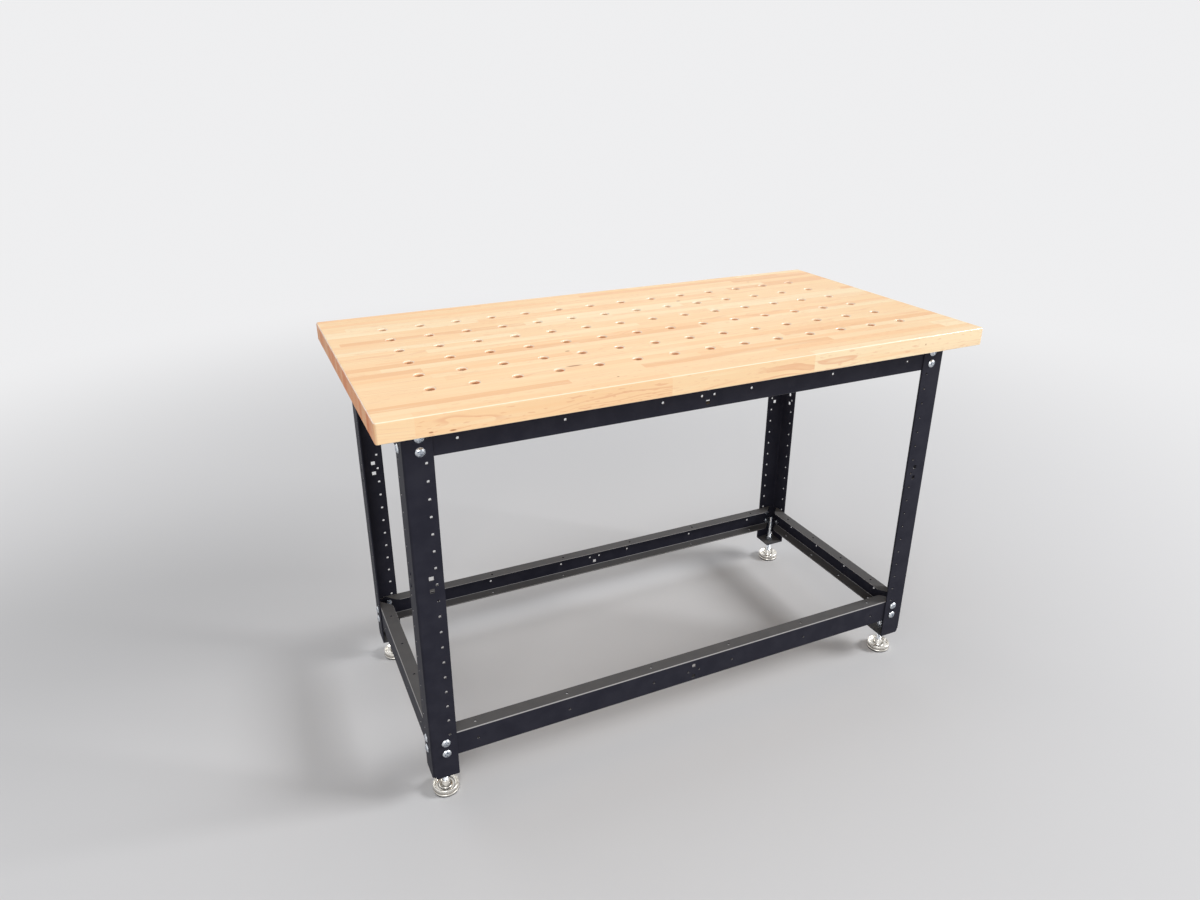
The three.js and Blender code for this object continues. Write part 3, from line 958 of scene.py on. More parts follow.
class Run(Enum):
    """The rail of a corner that a bolt holds."""

    LONG = "long"
    END = "end"


def folded_sheet(name: str, skins: Sequence[Skin], spans: Sequence[Flat], along: Axis) -> Object:
    """Makes a folded metal sheet.

    Args:
        name: The object's name.
        skins: The outer and the inner skin's points across the folds, in pairs.
        spans: The sheet's two ends at each pair, along the folds.
        along: The axis of the folds, X or Z.

    Returns:
        The object, a closed solid.
    """
    rings = []
    for (outer, inner), (low, high) in zip(skins, spans):
        spots = ((outer, low), (outer, high), (inner, high), (inner, low))
        rings.append([(end, *flat) if along is Axis.X else (*flat, end) for flat, end in spots])
    return loft(name, rings)


class Recipe(ABC):
    """A geometry node tree with named inputs, built once and run on any number of pieces."""

    title: ClassVar[str]
    sizes: ClassVar[dict[str, str]]

    def __init__(self) -> None:
        """Builds the tree, from its named inputs to its material."""
        self.tree = bpy.data.node_groups.new(self.title, "GeometryNodeTree")
        face = self.tree.interface
        face.new_socket("Geometry", in_out="OUTPUT", socket_type="NodeSocketGeometry")
        kinds = {"Geometry": "Geometry", **self.sizes, "Finish": "Material"}
        self.keys = {
            name: face.new_socket(name, in_out="INPUT", socket_type="NodeSocket" + kind).identifier
            for name, kind in kinds.items()
        }
        graph = Graph(self.tree)
        start = graph.node("NodeGroupInput")
        inputs = {name: start.output(name) for name in kinds}
        whole = graph.node("GeometryNodeRealizeInstances", {"Geometry": self.shape(graph, inputs)})
        dressed = graph.node("GeometryNodeSetMaterial", {"Geometry": whole, "Material": inputs["Finish"]})
        graph.node("NodeGroupOutput", {"Geometry": dressed})

    @abstractmethod
    def shape(self, graph: Graph, inputs: dict[str, Socket]) -> Socket:
        """Adds the tree's own nodes and gives its geometry."""

    def run(self, piece: Object, finish: Finish, values: dict[str, object]) -> None:
        """Adds the tree to a piece as a modifier with its inputs set.

        Args:
            piece: The piece.
            finish: The finish of the result.
            values: The inputs' values, by name.
        """
        modifier = piece.modifiers.new(self.title, "NODES")
        modifier.node_group = self.tree
        for name, value in {**values, "Finish": finish.material}.items():
            modifier[self.keys[name]] = value


@dataclass
class HoleRow:
    """A straight row of alike holes."""

    start: Point
    step: Point
    count: int
    axis: Axis
    form: HoleForm = HoleForm.ROUND
    size: float = SMALL_HOLE
    depth: float = 12 * MM

    @classmethod
    def bolt_pair(cls, middle: Point, axis: Axis) -> "HoleRow":
        """A pair of square bolt holes, one above the other."""
        start = (middle[0], middle[1], middle[2] + BOLT_SPACING / 2)
        return cls(start, (0.0, 0.0, -BOLT_SPACING), 2, axis, HoleForm.SQUARE, BOLT_HOLE)


class PunchedRow(Recipe):
    """Punches a straight row of alike holes through a sheet."""

    title = "punched_row"
    sizes = {
        "Start": "Vector", "Step": "Vector", "Count": "Int", "Turn": "Vector",
        "Width": "Float", "Sides": "Int", "Depth": "Float",
    }

    def shape(self, graph: Graph, inputs: dict[str, Socket]) -> Socket:
        """Sets a punch on each point of a line and takes them all from the sheet.

        Args:
            graph: The tree's graph.
            inputs: The tree's named inputs.

        Returns:
            The punched sheet.
        """
        sides = inputs["Sides"]
        bar = {"Vertices": sides, "Radius": inputs["Width"] / 2, "Depth": inputs["Depth"]}
        level = graph.rotation(graph.join(0, 0, math.pi / sides))
        punch = graph.node("GeometryNodeMeshCylinder", bar)
        punch = graph.node("GeometryNodeTransform", {"Geometry": punch, "Rotation": level})
        row = {"Count": inputs["Count"], "Start Location": inputs["Start"], "Offset": inputs["Step"]}
        line = graph.node("GeometryNodeMeshLine", row)
        punches = graph.instances(line, punch, graph.rotation(inputs["Turn"]))
        return graph.taken(inputs["Geometry"], punches)

    def punch(self, piece: Object, finish: Finish, rows: Sequence[HoleRow]) -> None:
        """Punches rows of holes through a piece.

        Args:
            piece: The piece.
            finish: Its finish.
            rows: The rows, in order.
        """
        for row in rows:
            values = {"Start": row.start, "Step": row.step, "Count": row.count, "Turn": row.axis.value}
            values |= {"Width": row.form.width(row.size), "Sides": row.form.value, "Depth": row.depth}
            self.run(piece, finish, values)


class DrilledGrid(Recipe):
    """Drills a level grid of holes with a shaped bit."""

    title = "drilled_grid"
    sizes = {"Bit": "Object", "Columns": "Int", "Rows": "Int", "Pitch": "Float", "Height": "Float"}

    def shape(self, graph: Graph, inputs: dict[str, Socket]) -> Socket:
        """Sets the bit on each point of a grid and takes them all from the block.

        Args:
            graph: The tree's graph.
            inputs: The tree's named inputs.

        Returns:
            The drilled block.
        """
        columns, rows, pitch = inputs["Columns"], inputs["Rows"], inputs["Pitch"]
        reach = {"Size X": (columns - 1) * pitch, "Size Y": (rows - 1) * pitch}
        grid = graph.node("GeometryNodeMeshGrid", {**reach, "Vertices X": columns, "Vertices Y": rows})
        bit = graph.node("GeometryNodeObjectInfo", {"Object": inputs["Bit"]}, "Geometry")
        bits = graph.instances(graph.lifted(grid, inputs["Height"]), bit)
        return graph.taken(inputs["Geometry"], bits)


class SetFasteners(Recipe):
    """Sets a fastener on every point, along the point's own axis and turned at random."""

    title = "set_fasteners"
    sizes = {"Fastener": "Object", "Seed": "Int"}
    axis_name = "axis"

    def shape(self, graph: Graph, inputs: dict[str, Socket]) -> Socket:
        """Puts the fastener on the points.

        Args:
            graph: The tree's graph.
            inputs: The tree's named inputs.

        Returns:
            The fasteners.
        """
        name = {"Name": self.axis_name}
        axis = graph.node("GeometryNodeInputNamedAttribute", name, data_type="FLOAT_VECTOR")
        along = graph.node("FunctionNodeAlignRotationToVector", {"Vector": axis}, axis="Z")
        span = {"Min_001": 0.0, "Max_001": FULL_TURN, "Seed": inputs["Seed"]}
        angle = graph.node("FunctionNodeRandomValue", span, 1, data_type="FLOAT")
        turns = {"Rotation": along, "Rotate By": graph.rotation(graph.join(0, 0, angle))}
        turn = graph.node("FunctionNodeRotateRotation", turns, rotation_space="LOCAL")
        fastener = graph.node("GeometryNodeObjectInfo", {"Object": inputs["Fastener"]}, "Geometry")
        return graph.instances(inputs["Geometry"], fastener, turn)

    def place(
        self, name: str, spots: Sequence[tuple[Vector, Vector]], fastener: Object, finish: Finish, seed: int
    ) -> Object:
        """Sets a fastener on every spot.

        Args:
            name: The name of the piece that they make.
            spots: The places, each with its axis.
            fastener: The fastener, along +Z.
            finish: Its finish.
            seed: The seed of its turns.

        Returns:
            The fasteners as one plain piece.
        """
        mesh = bpy.data.meshes.new(name)
        mesh.from_pydata([spot for spot, _ in spots], [], [])
        axes = mesh.attributes.new(self.axis_name, "FLOAT_VECTOR", "POINT")
        for item, (_, axis) in zip(axes.data, spots):
            item.vector = axis
        piece = add_object(name, mesh)
        self.run(piece, finish, {"Fastener": fastener, "Seed": seed})
        settle(piece)
        return piece


class CutThread(Recipe):
    """Winds a screw thread about Z between two heights, with its ends closed."""

    title = "cut_thread"
    sizes = {
        "Turns": "Int", "Segments": "Int", "Lead": "Float", "Root": "Float",
        "Crest": "Float", "Foot": "Float", "Top": "Float",
    }
    profile_points = 5
    crown_power = 0.75
    end_slope = 0.6
    same_height = 1e-7
    weld = 0.005 * MM

    def shape(self, graph: Graph, inputs: dict[str, Socket]) -> Socket:
        """Winds a strip of one pitch's profile into a helix and welds each turn to the next.

        Args:
            graph: The tree's graph.
            inputs: The tree's named inputs.

        Returns:
            The thread, a closed solid.
        """
        turns, segments, foot, top = (inputs[name] for name in ("Turns", "Segments", "Foot", "Top"))
        grid = {"Size X": 1.0, "Size Y": 1.0, "Vertices X": turns * segments + 1}
        strip = graph.node("GeometryNodeMeshGrid", {**grid, "Vertices Y": self.profile_points})
        u, v, _ = graph.split(graph.node("GeometryNodeInputPosition"))
        turn = (u + 0.5) * turns
        raw = foot + (turn + v - 0.5) * inputs["Lead"]
        # What lies past an end is pressed onto that end, at the root's radius.
        height = raw.math("MAXIMUM", foot).math("MINIMUM", top)
        within = 1 - abs(raw - height).math("GREATER_THAN", self.same_height)
        crown = (1 - abs(v * 2)) ** self.crown_power * (inputs["Crest"] - inputs["Root"])
        end_room = (top - height).math("MINIMUM", height - foot)
        radius = inputs["Root"] + crown.math("MINIMUM", end_room * self.end_slope) * within
        angle = turn * FULL_TURN
        place = graph.join(angle.math("COSINE") * radius, angle.math("SINE") * radius, height)
        wound = graph.node("GeometryNodeSetPosition", {"Geometry": strip, "Position": place})
        round_end = {"Vertices": segments, "Radius": inputs["Root"]}
        disc = graph.node("GeometryNodeMeshCircle", round_end, fill_type="NGON")
        lower = graph.node("GeometryNodeFlipFaces", {"Mesh": graph.lifted(disc, foot)})
        upper = graph.lifted(disc, top)
        whole = graph.node("GeometryNodeJoinGeometry", {"Geometry": [wound, upper, lower]})
        return graph.node("GeometryNodeMergeByDistance", {"Geometry": whole, "Distance": self.weld})


def install(piece: Object, body: str, finish: Finish, nodes: Sequence[str] = ()) -> None:
    """Gives a finished piece its material, its body and the nodes that it stands for.

    Args:
        piece: The piece, at the origin with its place in its mesh.
        body: The body that it moves with.
        finish: Its finish.
        nodes: The nodes that it replaces.
    """
    piece.data.materials.clear()
    piece.data.materials.append(finish.material)
    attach(piece, body)
    if nodes:
        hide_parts(*nodes)
    log.info("%s rides on %s with %d faces", piece.name, body, len(piece.data.polygons))


@dataclass
class Worktop:
    """The butcher-block top with its grid of dog holes."""

    finish: Finish
    corner_radius: float = 6 * MM
    upper_round: float = 3 * MM
    lower_round: float = 1.5 * MM
    hole_diameter: float = 20 * MM
    hole_pitch: float = 95.25 * MM
    hole_round: float = 4.0 * MM
    hole_relief: float = 0.8 * MM
    columns: int = 14
    rows: int = 6
    hole_segments: int = 40
    round_steps: int = 6
    lower_steps: int = 3
    overshoot: float = 3 * MM
    bit_lift: float = 0.02 * MM

    def outline(self, low: Vector, high: Vector, inset: float, z: float) -> list[Point]:
        """Draws a ring of points round the top.

        Args:
            low: The top's lowest corner.
            high: Its highest corner.
            inset: How far the ring is set in from its faces.
            z: The ring's height.

        Returns:
            The ring.
        """
        radius = self.corner_radius
        reach = radius - inset
        ring = []
        corners = ((high.x, high.y), (low.x, high.y), (low.x, low.y), (high.x, low.y))
        for turn, (x, y) in enumerate(corners):
            centre = Vector((x - math.copysign(radius, x), y - math.copysign(radius, y)))
            for k in range(self.round_steps + 1):
                angle = (turn + k / self.round_steps) * QUARTER_TURN
                ring.append((centre.x + reach * math.cos(angle), centre.y + reach * math.sin(angle), z))
        return ring

    def block(self, low: Vector, high: Vector) -> Object:
        """Makes the block with its eased edges.

        Args:
            low: The top's lowest corner.
            high: Its highest corner.

        Returns:
            The block.
        """
        lower_arc = quarter(self.lower_round, self.lower_steps)
        upper_arc = quarter(self.upper_round, self.round_steps)
        levels = [(self.lower_round - run, low.z + rise) for run, rise in lower_arc]
        levels += [(self.upper_round - run, high.z - rise) for run, rise in reversed(upper_arc)]
        return loft("butcher_block_top", [self.outline(low, high, inset, z) for inset, z in levels])

    def bit(self, thickness: float) -> Object:
        """Makes the drill's form, with a round-over at the top and a small relief below.

        Args:
            thickness: The top's thickness.

        Returns:
            The form about the Z axis, from the top's face down.
        """
        radius = self.hole_diameter / 2
        widest, relieved = radius + self.hole_round, radius + self.hole_relief
        arc = quarter(self.hole_round, self.round_steps)
        end = -thickness - self.overshoot
        profile = [(0.0, self.overshoot), (widest, self.overshoot)]
        profile += [(widest - run, -rise + self.bit_lift) for run, rise in arc]
        profile += [(radius, -thickness + self.hole_relief), (relieved, -thickness)]
        profile += [(relieved, end), (0.0, end)]
        return turned("dog_hole_bit", profile, self.hole_segments)

    def build(self) -> None:
        """Makes and dresses the top."""
        low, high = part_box("worktop")
        piece = self.block(low, high)
        bit = self.bit(high.z - low.z)
        grid = {"Columns": self.columns, "Rows": self.rows, "Pitch": self.hole_pitch, "Height": high.z}
        DrilledGrid().run(piece, self.finish, {"Bit": bit, **grid})
        settle(piece)
        remove(bit)
        soften(piece)
        install(piece, FRAME_BODY, self.finish, ["worktop"])


@dataclass
class Legs:
    """The four angle legs with their rows of holes and their foot plates."""

    finish: Finish
    punch: PunchedRow
    flange: float = 63.5 * MM
    thickness: float = 3 * MM
    bend_radius: float = 5 * MM
    bend_steps: int = 6
    edge_round: float = 0.5 * MM
    corner_relief: float = 11 * MM
    plate_thickness: float = 3 * MM
    stem_inset: float = 35 * MM
    stem_hole: float = 13.6 * MM
    row_edge: float = 15.7 * MM
    row_drop: float = 81.7 * MM
    row_pitch: float = 40.8 * MM
    row_count: int = 18
    bolt_inset: float = 36.5 * MM
    upper_drop: float = 39.5 * MM
    spare_drop: float = 365.5 * MM
    lower_rise: float = 84.5 * MM

    def half_skins(self) -> list[Skin]:
        """Draws the skins from one flange's free edge to the start of the bend.

        Returns:
            Pairs of an outer and an inner point.
        """
        end, ease, thick = self.flange, self.edge_round, self.thickness
        relief = quarter(self.corner_relief - self.bend_radius, self.bend_steps)
        runs = [end - ease] + [self.corner_relief - run for run, _ in relief]
        return [((end, ease), (end, thick - ease))] + [((run, 0.0), (run, thick)) for run in runs]

    def lift(self, run: float) -> float:
        """How far the lower end is relieved at a distance from the outer corner."""
        share = min(max((self.corner_relief - run) / (self.corner_relief - self.bend_radius), 0.0), 1.0)
        return self.corner_relief * (1 - math.sqrt(1 - share * share))

    def sheet(self, low: float, high: float) -> Object:
        """Makes the bent angle.

        Args:
            low: The height of its lower end.
            high: The height of its upper end.

        Returns:
            The sheet, with its outer corner on the Z axis.
        """
        half = self.half_skins()
        fold = bend(self.bend_radius, self.thickness, self.bend_steps)[1:-1]
        other = [tuple((y, x) for x, y in pair) for pair in reversed(half)]
        lifts = [self.lift(outer[0]) for outer, _ in half]
        lifts += [self.corner_relief] * len(fold) + lifts[::-1]
        spans = [(low + lift, high) for lift in lifts]
        return folded_sheet("leg_master", half + fold + other, spans, Axis.Z)

    def plate(self, low: float) -> Object:
        """Makes the plate that closes the leg's lower end.

        Args:
            low: The height of its lower face.

        Returns:
            The plate.
        """
        side, clip, end = self.thickness / 2, self.corner_relief, self.flange
        outline = [(clip, side), (end, side), (end, end), (side, end), (side, clip)]
        return prism("plate_master", outline, low, low + self.plate_thickness)

    def holes(self, low: float, high: float) -> list[HoleRow]:
        """Sets out the accessory rows and the bolt holes of both flanges, and the stem's hole.

        Args:
            low: The height of the leg's lower end.
            high: The height of its upper end.

        Returns:
            The rows.
        """
        middle, row, inset = self.thickness / 2, self.flange - self.row_edge, self.bolt_inset
        upper, down = high - self.row_drop, (0.0, 0.0, -self.row_pitch)
        rows = [
            HoleRow((row, middle, upper), down, self.row_count, Axis.Y),
            HoleRow((middle, row, upper), down, self.row_count, Axis.X),
        ]
        for z in (high - self.upper_drop, high - self.spare_drop, low + self.lower_rise):
            rows.append(HoleRow.bolt_pair((inset, middle, z), Axis.Y))
            rows.append(HoleRow.bolt_pair((middle, inset, z), Axis.X))
        stem = (self.stem_inset, self.stem_inset, low)
        return rows + [HoleRow(stem, (0.0, 0.0, 0.0), 1, Axis.Z, size=self.stem_hole)]

    def build(self) -> None:
        """Makes one leg and sets it at each corner."""
        low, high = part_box(f"leg_{Corner.FRONT_LEFT.label}")
        master = self.sheet(low.z, high.z)
        plate = self.plate(low.z)
        weld = master.modifiers.new("weld", "BOOLEAN")
        weld.operation, weld.solver, weld.object = "UNION", "MANIFOLD", plate
        self.punch.punch(master, self.finish, self.holes(low.z, high.z))
        settle(master)
        remove(plate)
        for corner in Corner:
            piece = copied(f"angle_leg_{corner.label}", master, corner.inward)
            install(piece, FRAME_BODY, self.finish, [f"leg_{corner.label}"])
        remove(master)


@dataclass
class Rails:
    """The eight channel rails, four under the top and four near the floor."""

    finish: Finish
    punch: PunchedRow
    thickness: float = 2.5 * MM
    bend_radius: float = 4 * MM
    bend_steps: int = 6
    flange: float = 36 * MM
    mitre_ease: float = 8 * MM
    mitre_steps: int = 6
    edge_round: float = 0.5 * MM
    notch: float = 0.4 * MM
    tab: float = 10 * MM
    line: float = 32 * MM
    flange_hole_set: float = 19.5 * MM
    long_pitch: float = 235.6 * MM
    long_count: int = 6
    end_pitch: float = 138 * MM
    end_count: int = 4
    cross_arm: float = 16.5 * MM
    cross_round: float = 11 * MM
    cross_square: float = 10.5 * MM
    bolt_end: float = 24.5 * MM

    def pattern(self, is_long: bool) -> tuple[float, int]:
        """The pitch and the number of the holes along a rail."""
        return (self.long_pitch, self.long_count) if is_long else (self.end_pitch, self.end_count)

    def half_skins(self, tip: float) -> list[tuple[Skin, float]]:
        """Draws the skins from one flange's free edge to the web, with the flange's mitred end.

        Args:
            tip: How far the mitre reaches where it meets the web.

        Returns:
            Pairs of an outer and an inner point, each with the sheet's reach there.
        """
        thick, ease = self.thickness, self.edge_round
        corner = tip - self.flange
        drop = self.mitre_ease * math.sqrt(0.5)
        skins = [(((self.flange, ease), (self.flange, thick - ease)), corner - self.mitre_ease)]
        first = math.sqrt(ease / drop)
        for k in range(self.mitre_steps + 1):
            t = first + (1 - first) * k / self.mitre_steps
            y = self.flange - drop * t * t
            skins.append((((y, 0.0), (y, thick)), corner - self.mitre_ease * (1 - t) ** 2 + drop * t * t))
        fold = bend(self.bend_radius, thick, self.bend_steps)
        return skins + [(pair, tip - pair[0][0]) for pair in fold]

    def channel(self, half: float, height: float) -> Object:
        """Makes the bent channel.

        Args:
            half: Half the rail's length.
            height: The height of its web.

        Returns:
            The channel along X, with its web's outer face at y = 0 and its lower edge at z = 0.
        """
        lower = self.half_skins(half - self.tab)
        rise = self.bend_radius + self.notch
        lower.append((((0.0, rise), (self.thickness, rise)), half))
        upper = [(tuple((y, height - z) for y, z in pair), reach) for pair, reach in reversed(lower)]
        skins, reaches = zip(*lower, *upper)
        return folded_sheet("rail_master", skins, [(-reach, reach) for reach in reaches], Axis.X)

    def holes(self, half: float, height: float, is_long: bool) -> list[HoleRow]:
        """Sets out the web's line, the flanges' lines, the bolt holes and a long rail's cross.

        Args:
            half: Half the rail's length.
            height: The height of its web.
            is_long: Whether the rail runs along the table's length.

        Returns:
            The rows.
        """
        middle, arm = self.thickness / 2, self.cross_arm
        pitch, count = self.pattern(is_long)
        first, along = -(count - 1) / 2 * pitch, (pitch, 0.0, 0.0)
        rows = [HoleRow((first, middle, self.line), along, count, Axis.Y)]
        for z in (middle, height - middle):
            rows.append(HoleRow((first, self.flange_hole_set, z), along, count, Axis.Z))
        for x in (self.bolt_end - half, half - self.bolt_end):
            rows.append(HoleRow.bolt_pair((x, middle, self.line), Axis.Y))
        if is_long:
            rows.append(HoleRow((-arm, middle, self.line), (2 * arm, 0.0, 0.0), 2, Axis.Y))
            above, below = (HoleForm.ROUND, self.cross_round), (HoleForm.SQUARE, self.cross_square)
            for z, kind in ((self.line + arm, above), (self.line - arm, below)):
                rows.append(HoleRow((0.0, middle, z), along, 1, Axis.Y, *kind))
        return rows

    def build(self) -> None:
        """Makes each kind of rail once and sets it on its sides."""
        for level, is_long in [(level, is_long) for level in Level for is_long in (True, False)]:
            sides = [side for side in Side if side.is_long is is_long]
            low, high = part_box(f"{level.value}_rail_{sides[0].label}")
            size = high - low
            half = max(size.x, size.y) / 2
            height = high.z - low.z
            master = self.channel(half, height)
            self.punch.punch(master, self.finish, self.holes(half, height, is_long))
            settle(master)
            for side in sides:
                low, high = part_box(f"{level.value}_rail_{side.label}")
                place = side.turn @ Matrix.Translation((0, -side.reach(low, high), low.z))
                piece = copied(f"{level.value}_channel_rail_{side.label}", master, place)
                install(piece, FRAME_BODY, self.finish, [f"{level.value}_rail_{side.label}"])
            remove(master)


@dataclass
class CarriageBolts:
    """The domed bolts with their nuts, eight at each corner."""

    finish: Finish
    setter: SetFasteners
    gap: float = 0.3 * MM
    head_radius: float = 10.5 * MM
    head_height: float = 5 * MM
    rim_height: float = 0.9 * MM
    rim_inset: float = 0.5 * MM
    rim_chamfer: float = 0.3 * MM
    dome_power: float = 3.2
    neck: float = 9.9 * MM
    nut_seat: float = 6.1 * MM
    nut_flats: float = 14.3 * MM
    nut_height: float = 8.3 * MM
    thread_radius: float = 4.75 * MM
    thread_pitch: float = 1.6 * MM
    thread_depth: float = 0.7 * MM
    tail: float = 4 * MM
    segments: int = 40
    dome_steps: int = 7
    seed: int = 4

    def head(self) -> Object:
        """Makes the low dome with its turned rim.

        Returns:
            The head.
        """
        rim, seat = self.head_radius, -self.gap
        dome = rim - self.rim_inset
        profile = [(0.0, seat), (dome, seat), (rim, seat - self.rim_chamfer), (rim, seat - self.rim_height)]
        for k in range(self.dome_steps + 1):
            share = 1 - k / self.dome_steps
            rise = (self.head_height - self.rim_height) * (1 - share ** self.dome_power)
            profile.append((dome * share, seat - self.rim_height - rise))
        return turned("bolt_head", profile, self.segments)

    def shank(self) -> Object:
        """Makes the square neck between the head and the nut.

        Returns:
            The neck.
        """
        half = self.neck / 2
        outline = [(-half, -half), (half, -half), (half, half), (-half, half)]
        return prism("bolt_neck", outline, -self.gap, self.nut_seat)

    def thread(self) -> Object:
        """Makes the threaded end that stands out of the nut.

        Returns:
            The end.
        """
        root, half_pitch = self.thread_radius - self.thread_depth, self.thread_pitch / 2
        end = self.nut_seat + self.nut_height + self.tail
        profile = [(0.0, self.nut_seat), (root, self.nut_seat)]
        z = self.nut_seat + self.nut_height / 2
        while z + self.thread_pitch < end - half_pitch:
            profile += [(root, z), (self.thread_radius, z + half_pitch)]
            z += self.thread_pitch
        profile += [(root, end - half_pitch), (root, end), (0.0, end)]
        return turned("bolt_end", profile, self.segments // 2)

    def fastener(self) -> Object:
        """Makes one bolt with its nut.

        Returns:
            The bolt, along +Z from the leg's outer face.
        """
        nut_top = self.nut_seat + self.nut_height
        nut = HexagonNut(self.nut_flats, self.nut_seat, nut_top, 2 * self.thread_radius).build("bolt_nut")
        return joined("bolt_master", [self.head(), self.shank(), nut, self.thread()])

    def build(self) -> None:
        """Sets the bolts of each corner along the middle lines of their nodes."""
        master = self.fastener()
        kinds = [(run, level, height) for run in Run for level in Level for height in ("high", "low")]
        for corner in Corner:
            start = f"bolt_{corner.label}"
            nodes = [f"{start}_{run.value}_{level.value}_{height}" for run, level, height in kinds]
            spots = []
            for node, (run, _, _) in zip(nodes, kinds):
                low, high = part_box(node)
                place = (low + high) / 2
                if run is Run.LONG:
                    place.y = corner.outer.y
                    axis = Vector((0, -corner.y_sign, 0))
                else:
                    place.x = corner.outer.x
                    axis = Vector((-corner.x_sign, 0, 0))
                spots.append((place, axis))
            name = f"carriage_bolts_{corner.label}"
            piece = self.setter.place(name, spots, master, self.finish, self.seed)
            install(piece, FRAME_BODY, self.finish, nodes)
        remove(master)


@dataclass
class TopScrews:
    """The screws that hold the top, up through the upper rails' flanges."""

    finish: Finish
    setter: SetFasteners
    rails: Rails
    washer_radius: float = 7.5 * MM
    washer_height: float = 1.3 * MM
    washer_bevel: float = 1.5 * MM
    washer_edge: float = 0.5 * MM
    flats: float = 9.5 * MM
    head_height: float = 5 * MM
    head_bore: float = 4 * MM
    dimple_floor: float = 1.2 * MM
    dimple_rim: float = 0.6 * MM
    dimple_depth: float = 3 * MM
    shank_radius: float = 2.6 * MM
    shank_length: float = 2.7 * MM
    segments: int = 28
    seed: int = 11

    def fastener(self) -> Object:
        """Makes one hexagon head with its washer.

        Returns:
            The screw, with its shank along +Z.
        """
        rim, seat = self.washer_radius, -self.washer_height
        shank, dimple = self.shank_radius, self.head_bore / 2
        low = seat - self.head_height
        deep = low + self.dimple_depth
        flange = [(0.0, seat), (rim - self.washer_bevel, seat), (rim, -self.washer_edge), (rim, 0.0)]
        flange += [(shank, 0.0), (shank, self.shank_length), (0.0, self.shank_length)]
        plug = [(0.0, low + self.dimple_floor), (dimple, low + self.dimple_rim)]
        plug += [(dimple, deep), (0.0, deep)]
        head = HexagonNut(self.flats, low, seat, self.head_bore).build("screw_head")
        dimple_plug = turned("screw_dimple", plug, self.segments)
        return joined("screw_master", [turned("screw_washer", flange, self.segments), head, dimple_plug])

    def build(self) -> None:
        """Sets a screw at each hole of the upper rails' top flanges."""
        spots = []
        for side in Side:
            low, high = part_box(f"upper_rail_{side.label}")
            y = self.rails.flange_hole_set - side.reach(low, high)
            pitch, count = self.rails.pattern(side.is_long)
            for k in range(count):
                spot = Vector(((k - (count - 1) / 2) * pitch, y, high.z - self.rails.thickness))
                spots.append((side.turn @ spot, Vector((0, 0, 1))))
        master = self.fastener()
        piece = self.setter.place("top_screws", spots, master, self.finish, self.seed)
        remove(master)
        install(piece, FRAME_BODY, self.finish)


